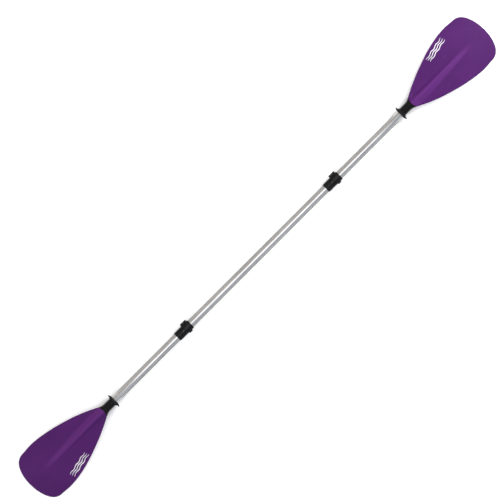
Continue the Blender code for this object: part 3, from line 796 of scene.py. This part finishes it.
def make_collar(side):
    """A plain sleeve and a slotted band with two ears."""
    outline = [
        (COLLAR_LENGTH, COLLAR_BORE),
        (COLLAR_LENGTH, BAND_RADIUS),
        (BAND_START + BAND_RADIUS - SLEEVE_RADIUS, BAND_RADIUS),
        (BAND_START, SLEEVE_RADIUS),
        (0.0, SLEEVE_RADIUS),
        (0.0, COLLAR_BORE),
    ]
    origin = at_x(COLLAR_X[side])
    collar = turned(side + "_collar_moulding", soften(outline, COLLAR_ROUNDING), origin)
    ears = block(
        "ears_" + side,
        origin + Vector((EAR_CENTRE - EAR_HALF_LENGTH, EAR_INNER_Y, -EAR_HALF_HEIGHT)),
        origin + Vector((EAR_CENTRE + EAR_HALF_LENGTH, EAR_OUTER_Y, EAR_HALF_HEIGHT)),
        EAR_ROUNDING,
    )
    mouth_span = (MOUTH_START, COLLAR_LENGTH + CUT_OVERRUN)
    mouth = rod("cut_mouth_" + side, mouth_span, MOUTH_BORE, 0.0, origin, steps=FINE_STEPS)
    slot = block(
        "cut_slot_" + side,
        origin + Vector((SLOT_START, COLLAR_BORE - CUT_OVERRUN, -SLOT_HALF)),
        origin + Vector((COLLAR_LENGTH + CUT_OVERRUN, EAR_OUTER_Y + CUT_OVERRUN, SLOT_HALF)),
    )
    reach = EAR_HALF_HEIGHT + CUT_OVERRUN
    hole = rod("cut_ear_" + side, (-reach, reach), BOLT_RADIUS + CLEARANCE, 0.0, bolt_line(side), UP)
    return combine(
        collar,
        [
            (ears, "UNION"),
            (mouth, "DIFFERENCE"),
            (slot, "DIFFERENCE"),
            (hole, "DIFFERENCE"),
            (rivet_hole(side), "DIFFERENCE"),
        ],
    )


def bolt_line(side):
    """Where the cross bolt's axis meets the shaft's level."""
    return at_x(COLLAR_X[side] + EAR_CENTRE, BOLT_Y)


def make_bush(side):
    outline = [
        (BUSH_END, COLLAR_BORE),
        (BUSH_END, BUSH_LIP_RADIUS),
        (BUSH_LIP_START, BUSH_LIP_RADIUS),
        (BUSH_LIP_START, BUSH_RADIUS),
        (BUSH_START, BUSH_RADIUS),
        (BUSH_START, COLLAR_BORE),
    ]
    origin = at_x(COLLAR_X[side])
    bush = turned(side + "_bush_moulding", soften(outline, CLEARANCE), origin)
    slit = block(
        "cut_slit_" + side,
        origin + Vector((BUSH_START - CUT_OVERRUN, 0.0, -BUSH_SLIT_HALF)),
        origin + Vector((BUSH_END + CUT_OVERRUN, BAND_RADIUS, BUSH_SLIT_HALF)),
    )
    return combine(bush, [(slit, "DIFFERENCE")])


def make_bolt(side):
    """A bolt with an eye for the lever's pin."""
    origin = bolt_line(side)
    pivot = PIVOT[side]
    bolt = rod(side + "_bolt_metal", (BOLT_END_Z, PIVOT_Z), BOLT_RADIUS, STEEL_ROUNDING, origin, UP)
    eye = rod("eye_" + side, (-EYE_HALF_LENGTH, EYE_HALF_LENGTH), EYE_RADIUS, STEEL_ROUNDING, pivot)
    hole_span = (-PIN_HALF_LENGTH, PIN_HALF_LENGTH)
    hole = rod("cut_eye_" + side, hole_span, PIN_RADIUS + PIN_GAP, 0.0, pivot)
    return combine(bolt, [(eye, "UNION"), (hole, "DIFFERENCE")])


def make_nut(side):
    """A six-sided nut with chamfered corners."""
    origin = bolt_line(side)
    corner = NUT_FLAT / math.cos(math.pi / NUT_SIDES)
    nut = rod(side + "_nut_metal", NUT_SPAN, corner, 0.0, origin, UP, steps=NUT_SIDES)
    blank = rod("blank_" + side, NUT_SPAN, corner, NUT_CHAMFER, origin, UP)
    span = (NUT_SPAN[0] - CUT_OVERRUN, NUT_SPAN[1] + CUT_OVERRUN)
    hole = rod("cut_nut_" + side, span, BOLT_RADIUS + TIGHT_GAP, 0.0, origin, UP)
    return combine(nut, [(blank, "INTERSECT"), (hole, "DIFFERENCE")])


def make_washer(side):
    origin = bolt_line(side)
    low_z, high_z = WASHER_SPAN
    washer = block(
        side + "_washer_metal",
        origin + Vector((-WASHER_HALF_LENGTH, WASHER_Y[0] - BOLT_Y, low_z)),
        origin + Vector((WASHER_HALF_LENGTH, WASHER_Y[1] - BOLT_Y, high_z)),
        CLEARANCE,
        segments=WASHER_STEPS,
    )
    span = (low_z - CUT_OVERRUN, high_z + CUT_OVERRUN)
    hole = rod("cut_washer_" + side, span, BOLT_RADIUS + CLEARANCE, 0.0, origin, UP)
    return combine(washer, [(hole, "DIFFERENCE")])


def make_pin(side):
    span = (-PIN_HALF_LENGTH, PIN_HALF_LENGTH)
    return rod(side + "_lever_pin_metal", span, PIN_RADIUS, STEEL_ROUNDING, PIVOT[side])


def make_blade_pin(side):
    origin = at_x(outward_x(side, BLADE_PIN_X))
    return rod(side + "_blade_pin_metal", BLADE_PIN_SPAN, BLADE_PIN_RADIUS, STEEL_ROUNDING, origin, UP)


def make_rivet(side):
    """A domed head, a shank and an upset end."""
    seat = SLEEVE_RADIUS - CLEARANCE
    low, high = RIVET_UPSET
    outline = []
    for i in range(RIVET_DOME_POINTS):
        turn = math.pi / 2.0 * i / (RIVET_DOME_POINTS - 1)
        rise = (RIVET_HEAD_HEIGHT + 2.0 * CLEARANCE) * math.cos(turn)
        outline.append((seat + rise, RIVET_HEAD_RADIUS * math.sin(turn)))
    outline += [
        (seat, RIVET_RADIUS),
        (high, RIVET_RADIUS),
        (high, RIVET_UPSET_RADIUS),
        (low, RIVET_UPSET_RADIUS),
        (low, 0.0),
    ]
    origin = at_x(COLLAR_X[side] + RIVET_X)
    return turned(side + "_rivet_metal", outline, origin, UP, SMALL_STEPS)


# ---------------------------------------------------------------- lever


def arm_ring(side, inner, outer, half, shrink=0.0):
    """A four-sided section of the arm with rounded corners."""
    (y0, z0), (y1, z1) = inner, outer
    length = math.hypot(y1 - y0, z1 - z0)
    low, high = shrink, length - shrink
    wide = half - shrink
    corners = soften([(-wide, low), (wide, low), (wide, high), (-wide, high)], ARM_CORNER)
    ring = []
    for x, along in corners:
        t = along / length
        ring.append(at_x(PIVOT[side].x + x, mix(y0, y1, t), mix(z0, z1, t)))
    return ring


def arm_rings(side):
    """The arm's sections: the root between the cheeks, then around the band to the thumb tip."""
    rings = [arm_ring(side, ARM_ROOT_INNER, ARM_ROOT_OUTER, ARM_WIDE_HALF)]
    tip_turn = math.degrees(ARM_CORNER / ARM_INNER)
    for i in range(ARM_STATIONS):
        t = i / (ARM_STATIONS - 1)
        rings.append(arm_section(side, t, mix(ARM_START_ANGLE, ARM_END_ANGLE - tip_turn, t), 0.0))
    for i in range(1, ROUND_POINTS + 1):
        turn = math.pi / 2.0 * i / ROUND_POINTS
        angle = ARM_END_ANGLE - tip_turn * (1.0 - math.sin(turn))
        rings.append(arm_section(side, 1.0, angle, ARM_CORNER * (1.0 - math.cos(turn))))
    return rings


def arm_section(side, t, degrees, shrink):
    """The arm's section at an angle about the shaft, with t running from root to tip."""
    turn = math.radians(degrees)
    lift = ARM_TIP_LIFT * smooth_step((t - ARM_TIP_SHARE) / (1.0 - ARM_TIP_SHARE))
    low = ARM_INNER + lift
    high = low + ARM_THICKNESS + ARM_ROOT_EXTRA * (1.0 - smooth_step(t / ARM_ROOT_SHARE))
    half = mix(ARM_WIDE_HALF, ARM_NARROW_HALF, smooth_step(t))
    across, up = math.cos(turn), math.sin(turn)
    return arm_ring(side, (low * across, low * up), (high * across, high * up), half, shrink)


def make_lever(side):
    """The arm with its two cheeks, the slot for the bolt's eye and the pin's hole."""
    pivot = PIVOT[side]
    lever = skin(side + "_lever_moulding", arm_rings(side))
    cheek_centre = pivot - Vector((0.0, 0.0, CHEEK_OFFSET))
    cheek_span = (-CHEEK_HALF_LENGTH, CHEEK_HALF_LENGTH)
    cheeks = rod("cheeks_" + side, cheek_span, CHEEK_RADIUS, CHEEK_ROUNDING, cheek_centre, steps=FINE_STEPS)
    slot_half = EYE_HALF_LENGTH + CLEARANCE
    slot = rod("cut_lever_slot_" + side, (-slot_half, slot_half), LEVER_SLOT_RADIUS, 0.0, pivot)
    reach = CHEEK_HALF_LENGTH + CUT_OVERRUN
    hole = rod("cut_lever_hole_" + side, (-reach, reach), PIN_RADIUS + PIN_GAP, 0.0, pivot)
    return combine(lever, [(cheeks, "UNION"), (slot, "DIFFERENCE"), (hole, "DIFFERENCE")])


# ---------------------------------------------------------------- materials


class Look:
    """A procedural material: one Principled shader with noise-driven colour, roughness and bump."""

    def __init__(self, name, roughness, metallic=0.0, specular=0.5):
        self.material = bpy.data.materials.new(name)
        self.material.use_nodes = True
        self.nodes = self.material.node_tree.nodes
        self.links = self.material.node_tree.links
        self.shader = self.nodes["Principled BSDF"]
        self.shader.inputs["Roughness"].default_value = roughness
        self.shader.inputs["Metallic"].default_value = metallic
        self.shader.inputs["Specular IOR Level"].default_value = specular
        self.place = self.nodes.new("ShaderNodeTexCoord").outputs["Object"]

    def stretched(self, stretch):
        mapping = self.nodes.new("ShaderNodeMapping")
        mapping.inputs["Scale"].default_value = stretch
        self.links.new(self.place, mapping.inputs["Vector"])
        return mapping.outputs["Vector"]

    def noise(self, scale, detail=3.0, stretch=(1.0, 1.0, 1.0), roughness=0.5):
        node = self.nodes.new("ShaderNodeTexNoise")
        node.inputs["Scale"].default_value = scale
        node.inputs["Detail"].default_value = detail
        node.inputs["Roughness"].default_value = roughness
        self.links.new(self.stretched(stretch), node.inputs["Vector"])
        return node.outputs["Fac"]

    def cells(self, scale):
        node = self.nodes.new("ShaderNodeTexVoronoi")
        node.inputs["Scale"].default_value = scale
        self.links.new(self.place, node.inputs["Vector"])
        return node.outputs["Distance"]

    def ramp(self, value, start, end, low, high):
        node = self.nodes.new("ShaderNodeMapRange")
        node.interpolation_type = "SMOOTHSTEP"
        for key, number in (("From Min", start), ("From Max", end), ("To Min", low), ("To Max", high)):
            node.inputs[key].default_value = number
        self.links.new(value, node.inputs["Value"])
        return node.outputs["Result"]

    def math(self, operation, a, b):
        node = self.nodes.new("ShaderNodeMath")
        node.operation = operation
        for socket, value in zip(node.inputs, (a, b)):
            if isinstance(value, float):
                socket.default_value = value
            else:
                self.links.new(value, socket)
        return node.outputs["Value"]

    def axis(self, name):
        node = self.nodes.new("ShaderNodeSeparateXYZ")
        self.links.new(self.place, node.inputs["Vector"])
        return node.outputs[name]

    def colours(self, factor, a, b):
        node = self.nodes.new("ShaderNodeMix")
        node.data_type = "RGBA"
        for socket, value in ((node.inputs[0], factor), (node.inputs[6], a), (node.inputs[7], b)):
            if isinstance(value, tuple):
                socket.default_value = value + (1.0,)
            else:
                self.links.new(value, socket)
        return node.outputs[2]

    def set_colour(self, colour):
        self.links.new(colour, self.shader.inputs["Base Color"])

    def set_roughness(self, value):
        self.links.new(value, self.shader.inputs["Roughness"])

    def bump(self, height, strength, distance):
        node = self.nodes.new("ShaderNodeBump")
        node.inputs["Strength"].default_value = strength
        node.inputs["Distance"].default_value = distance
        self.links.new(height, node.inputs["Height"])
        normal = self.shader.inputs["Normal"]
        if normal.is_linked:
            self.links.new(normal.links[0].from_socket, node.inputs["Normal"])
        self.links.new(node.outputs["Normal"], normal)


def plastic(name, dark, light, roughness, specular, grain_scale, grain_depth):
    """Moulded plastic: cloudy colour, fine grain, and faint rubbed patches."""
    look = Look(name, roughness, specular=specular)
    cloud = look.ramp(look.noise(9.0, 4.0), 0.35, 0.65, 0.0, 1.0)
    fleck = look.ramp(look.noise(1400.0, 2.0), 0.3, 0.7, 0.0, 1.0)
    colour = look.colours(cloud, dark, light)
    colour = look.colours(look.math("MULTIPLY", fleck, 0.18), colour, light)
    rub = look.ramp(look.noise(60.0, 6.0, roughness=0.7), 0.66, 0.8, 0.0, 0.22)
    look.set_colour(look.colours(rub, colour, WEAR_COLOUR))
    patch = look.ramp(look.noise(24.0, 5.0), 0.3, 0.7, roughness - 0.06, roughness + 0.06)
    look.set_roughness(look.math("ADD", patch, look.math("MULTIPLY", rub, 0.3)))
    look.bump(look.noise(grain_scale, 3.0), 0.5, grain_depth)
    look.bump(look.noise(45.0, 3.0), 0.3, 0.00012)
    return look


def rib_painted_light(look):
    """Where the rib's gentle flank and crest are painted lighter: painted light that stands in for light
    falling on them.
    """
    x, y = look.axis("X"), look.axis("Y")
    out = look.math("SUBTRACT", look.math("ABSOLUTE", x, 0.0), SHOULDER_X)
    local_y = look.math("MULTIPLY", y, look.math("SIGN", x, 0.0))
    reach = look.ramp(out, 0.06, SPINE_END, RIB_REACH[0], RIB_REACH[1])
    up_flank = look.math("DIVIDE", look.math("ADD", local_y, reach), reach)
    rise = look.ramp(up_flank, 0.0, RIB_RISE, 0.0, 1.0)
    fall = look.ramp(local_y, RIB_CREST, RIB_FOOT, 1.0, 0.0)
    fade = look.ramp(out, RIB_FADE * SPINE_END, RIB_FADE_END * SPINE_END, 1.0, 0.0)
    return look.math("MULTIPLY", look.math("MULTIPLY", rise, fall), fade)


def blade_look():
    """Satin fibre-filled nylon, scuffed towards the tips, with fine lengthwise scratches, and painted light
    along the rib's gentle flank and crest.
    """
    dark, light = BLADE_COLOURS
    look = Look("blade_nylon", BLADE_ROUGHNESS, specular=BLADE_SPECULAR)
    cloud = look.ramp(look.noise(7.0, 5.0), 0.3, 0.7, 0.0, 1.0)
    colour = look.colours(cloud, dark, light)
    # Painted light: a lighter colour on the rib's gentle flank and crest stands in for light falling on them.
    colour = look.colours(look.math("MULTIPLY", rib_painted_light(look), RIB_PAINTED_LIGHT), colour, RIB_LIT_COLOUR)
    fibre = look.ramp(look.noise(700.0, 3.0, stretch=(0.35, 1.0, 1.0)), 0.45, 0.75, 0.0, 0.15)
    colour = look.colours(fibre, colour, FIBRE_COLOUR)
    along = look.math("ABSOLUTE", look.axis("X"), 0.0)
    near_tip = look.ramp(along, TIP_X - 0.16, TIP_X, 0.0, 1.0)
    scuff = look.ramp(look.noise(90.0, 8.0, stretch=(0.5, 1.6, 1.0), roughness=0.72), 0.56, 0.74, 0.0, 1.0)
    scratch = look.ramp(look.noise(260.0, 2.0, stretch=(0.05, 1.0, 1.0)), 0.68, 0.76, 0.0, 0.35)
    worn = look.math("ADD", look.math("MULTIPLY", scuff, look.math("MULTIPLY", near_tip, 0.35)), scratch)
    look.set_colour(look.colours(look.math("MULTIPLY", worn, 0.3), colour, SCUFF_COLOUR))
    patch = look.ramp(look.noise(18.0, 4.0), 0.3, 0.7, BLADE_ROUGHNESS - 0.04, BLADE_ROUGHNESS + 0.05)
    look.set_roughness(look.math("ADD", patch, look.math("MULTIPLY", worn, 0.2)))
    look.bump(look.noise(900.0, 3.0), 0.4, 0.00005)
    look.bump(look.noise(30.0, 3.0), 0.25, 0.0002)
    return look


def tube_look(name, tint, roughness):
    """Anodised aluminium, brushed lengthwise, with painted shade: a dark edge tint dims its reflection
    towards the sides.
    """
    look = Look(name, roughness, metallic=1.0)
    # Painted shade: the dark edge tint darkens the reflection towards the tube's sides.
    look.shader.inputs["Specular Tint"].default_value = TUBE_PAINTED_EDGE_SHADE + (1.0,)
    brush = look.noise(900.0, 3.0, stretch=(0.012, 1.0, 1.0))
    cloud = look.ramp(look.noise(14.0, 4.0), 0.3, 0.7, 0.0, 1.0)
    darker = tuple(channel * 0.9 for channel in tint)
    colour = look.colours(cloud, darker, tint)
    smudge = look.ramp(look.noise(40.0, 6.0, roughness=0.7), 0.6, 0.78, 0.0, 0.25)
    look.set_colour(look.colours(smudge, colour, tuple(channel * 0.78 for channel in tint)))
    fine = look.ramp(brush, 0.3, 0.7, roughness - 0.05, roughness + 0.07)
    look.set_roughness(look.math("ADD", fine, look.math("MULTIPLY", smudge, 0.3)))
    look.bump(brush, 0.25, 0.00002)
    return look


def steel_look(name, dark, light):
    """Plated or blackened steel, slightly mottled."""
    look = Look(name, 0.3, metallic=1.0)
    cloud = look.ramp(look.noise(300.0, 4.0), 0.3, 0.7, 0.0, 1.0)
    look.set_colour(look.colours(cloud, dark, light))
    look.set_roughness(look.ramp(look.noise(500.0, 4.0), 0.3, 0.7, 0.22, 0.42))
    look.bump(look.noise(1200.0, 2.0), 0.3, 0.00003)
    return look


def foam_look():
    """Closed-cell foam with small pores."""
    look = Look("closed_cell_foam", 0.9, specular=0.2)
    pores = look.cells(420.0)
    wall = look.ramp(pores, 0.1, 0.6, 0.0, 1.0)
    look.set_colour(look.colours(wall, (0.03, 0.03, 0.032), (0.09, 0.09, 0.095)))
    look.set_roughness(look.ramp(pores, 0.1, 0.6, 0.82, 0.97))
    look.bump(pores, 0.8, 0.0006)
    return look


def print_look():
    """White screen print, slightly worn."""
    look = Look("white_print", 0.45, specular=0.4)
    cloud = look.ramp(look.noise(50.0, 5.0), 0.3, 0.7, 0.0, 1.0)
    colour = look.colours(cloud, (0.72, 0.71, 0.74), (0.84, 0.83, 0.86))
    worn = look.ramp(look.noise(420.0, 6.0, roughness=0.7), 0.64, 0.76, 0.0, 0.6)
    look.set_colour(look.colours(worn, colour, BLADE_COLOURS[1]))
    look.set_roughness(look.ramp(look.noise(200.0, 4.0), 0.3, 0.7, 0.38, 0.52))
    look.bump(look.noise(900.0, 3.0), 0.3, 0.00003)
    return look


def floor_look():
    """A pale, matt studio floor that glows a little."""
    look = Look("studio_floor", 0.75, specular=0.2)
    cloud = look.ramp(look.noise(1.5, 3.0), 0.3, 0.7, 0.0, 1.0)
    look.set_colour(look.colours(cloud, FLOOR_COLOURS[0], FLOOR_COLOURS[1]))
    look.set_roughness(look.ramp(look.noise(6.0, 3.0), 0.3, 0.7, 0.7, 0.8))
    look.bump(look.noise(40.0, 2.0), 0.1, 0.0002)
    look.shader.inputs["Emission Color"].default_value = (1.0, 1.0, 1.0, 1.0)
    look.shader.inputs["Emission Strength"].default_value = FLOOR_GLOW
    return look


def flag_look():
    """Matt grey card."""
    look = Look("flag_card", 0.9, specular=0.1)
    cloud = look.ramp(look.noise(3.0, 3.0), 0.3, 0.7, 0.0, 1.0)
    look.set_colour(look.colours(cloud, (0.24, 0.24, 0.24), (0.30, 0.30, 0.30)))
    look.bump(look.noise(60.0, 2.0), 0.2, 0.0002)
    return look


# ---------------------------------------------------------------- assembly


def make_looks():
    return {
        "blade": blade_look(),
        "neck": plastic("neck_gloss", *PLASTICS["neck_gloss"]),
        "ring": plastic("ring_rubber", *PLASTICS["ring_rubber"]),
        "collar": plastic("collar_nylon", *PLASTICS["collar_nylon"]),
        "lever": plastic("lever_nylon", *PLASTICS["lever_nylon"]),
        "bush": plastic("bush_acetal", *PLASTICS["bush_acetal"]),
        "tube": tube_look("tube_aluminium", TUBE_TINT, TUBE_ROUGHNESS),
        "ferrule": tube_look("ferrule_aluminium", (0.62, 0.63, 0.65), 0.34),
        "steel": steel_look("zinc_steel", (0.42, 0.42, 0.43), (0.6, 0.6, 0.62)),
        "black_steel": steel_look("black_oxide_steel", (0.05, 0.05, 0.05), (0.11, 0.11, 0.11)),
        "foam": foam_look(),
    }


def make_pieces(looks):
    pieces = {
        "left_shaft_tube": (make_tube("left_shaft_tube", [blade_pin_hole("left")]), "tube"),
        "middle_shaft_tube": (make_tube("middle_shaft_tube", [rivet_hole("right")]), "tube"),
        "right_shaft_tube": (make_tube("right_shaft_tube", [blade_pin_hole("right")]), "tube"),
        "middle_tube_plug": (make_plug("middle_tube_plug", TUBE_BORE - CLEARANCE), "foam"),
        "right_tube_plug": (make_plug("right_tube_plug", TUBE_BORE - CLEARANCE), "foam"),
    }
    for side in SIDES:
        pieces.update(
            {
                side + "_blade": (combine(make_blade(side), [(blade_pin_hole(side), "DIFFERENCE")]), "blade"),
                side + "_neck_sleeve": (make_neck_sleeve(side), "neck"),
                side + "_drip_ring": (make_drip_ring(side), "ring"),
                side + "_blade_pin": (make_blade_pin(side), "steel"),
                side + "_ferrule": (make_ferrule(side), "ferrule"),
                side + "_ferrule_plug": (make_plug(side + "_ferrule_plug", FERRULE_BORE - CLEARANCE), "foam"),
                side + "_clamp_collar": (make_collar(side), "collar"),
                side + "_clamp_bush": (make_bush(side), "bush"),
                side + "_clamp_bolt": (make_bolt(side), "black_steel"),
                side + "_clamp_nut": (make_nut(side), "steel"),
                side + "_lever_washer": (make_washer(side), "black_steel"),
                side + "_lever_pin": (make_pin(side), "black_steel"),
                side + "_clamp_lever": (make_lever(side), "lever"),
                side + "_collar_rivet": (make_rivet(side), "black_steel"),
            }
        )
    for node, (piece, look) in pieces.items():
        stand_for(piece, node, looks[look].material)


def make_marks():
    look = print_look().material
    for side in SIDES:
        for row in range(MARK_ROWS):
            make_mark(side, row, look)


# ---------------------------------------------------------------- studio


def make_floor():
    floor = add_mesh(
        "studio_floor",
        [(-FLOOR_HALF, -FLOOR_HALF, FLOOR_Z), (FLOOR_HALF, -FLOOR_HALF, FLOOR_Z),
         (FLOOR_HALF, FLOOR_HALF, FLOOR_Z), (-FLOOR_HALF, FLOOR_HALF, FLOOR_Z)],
        [(0, 1, 2, 3)],
    )
    floor.data.materials.append(floor_look().material)


def make_flags():
    """Grey cards beside the shaft that only reflections show, so that the bright metal has darker sides."""
    for sign in (-1.0, 1.0):
        near, far = sign * FLAG_SPAN[0], sign * FLAG_SPAN[1]
        corners = [(-FLAG_REACH, near), (FLAG_REACH, near), (FLAG_REACH, far), (-FLAG_REACH, far)]
        verts = [(x, y, FLOOR_Z + FLAG_LIFT) for x, y in corners]
        flag = add_mesh("flag_%s" % ("near" if sign < 0.0 else "far"), verts, [(0, 1, 2, 3)])
        flag.data.materials.append(flag_look().material)
        flag.visible_camera = False
        flag.visible_diffuse = False
        flag.visible_shadow = False


def make_sky():
    """Dim studio walls, cool on the -Y side and warm on the +Y side."""
    world = bpy.data.worlds.new("studio")
    bpy.context.scene.world = world
    world.use_nodes = True
    nodes, links = world.node_tree.nodes, world.node_tree.links
    place = nodes.new("ShaderNodeTexCoord").outputs["Generated"]
    split = nodes.new("ShaderNodeSeparateXYZ")
    links.new(place, split.inputs["Vector"])
    ramp = nodes.new("ShaderNodeValToRGB")
    stops = ramp.color_ramp
    stops.interpolation = "EASE"
    while len(stops.elements) < len(SKY_STOPS):
        stops.elements.new(1.0)
    for element, (at, colour) in zip(stops.elements, SKY_STOPS):
        element.position = (at + 1.0) / 2.0
        element.color = colour + (1.0,)
    shift = nodes.new("ShaderNodeMapRange")
    shift.inputs["From Min"].default_value = -1.0
    shift.inputs["From Max"].default_value = 1.0
    links.new(split.outputs["Y"], shift.inputs["Value"])
    links.new(shift.outputs["Result"], ramp.inputs["Fac"])
    background = nodes["Background"]
    links.new(ramp.outputs["Color"], background.inputs["Color"])
    background.inputs["Strength"].default_value = SKY_STRENGTH


def make_suns():
    for name, source, energy in SUNS:
        light = bpy.data.lights.new(name, "SUN")
        light.energy = energy
        light.angle = math.radians(SUN_ANGLE)
        sun = bpy.data.objects.new(name, light)
        sun.rotation_euler = Vector(source).to_track_quat("Z", "Y").to_euler()
        bpy.context.scene.collection.objects.link(sun)


def make_panels():
    """Soft boxes: one over the shaft and one past each end."""
    for name, centre, target, width, height, radiance, colour in PANELS:
        light = bpy.data.lights.new(name, "AREA")
        light.shape = "RECTANGLE"
        light.size, light.size_y = width, height
        light.energy = radiance * math.pi * width * height
        light.color = colour
        panel = bpy.data.objects.new(name, light)
        back = Vector(centre) - Vector(target)
        across = Vector((1.0, 0.0, 0.0)) if abs(back.y) >= abs(back.x) else Vector((0.0, 1.0, 0.0))
        up = back.cross(across).normalized()
        axes = Matrix((across, up, across.cross(up))).transposed()
        panel.matrix_world = Matrix.Translation(centre) @ axes.to_4x4()
        panel.visible_camera = False
        bpy.context.scene.collection.objects.link(panel)


def make_camera():
    camera_data = bpy.data.cameras.new("camera")
    camera_data.lens = LENS
    camera = bpy.data.objects.new("camera", camera_data)
    camera.location = CAMERA_AT
    camera.rotation_euler = (0.0, 0.0, math.radians(CAMERA_TURN))
    bpy.context.scene.collection.objects.link(camera)
    bpy.context.scene.camera = camera


bpy.context.scene.view_settings.view_transform = "Standard"
make_pieces(make_looks())
make_marks()
make_floor()
make_flags()
make_sky()
make_panels()
make_suns()
make_camera()
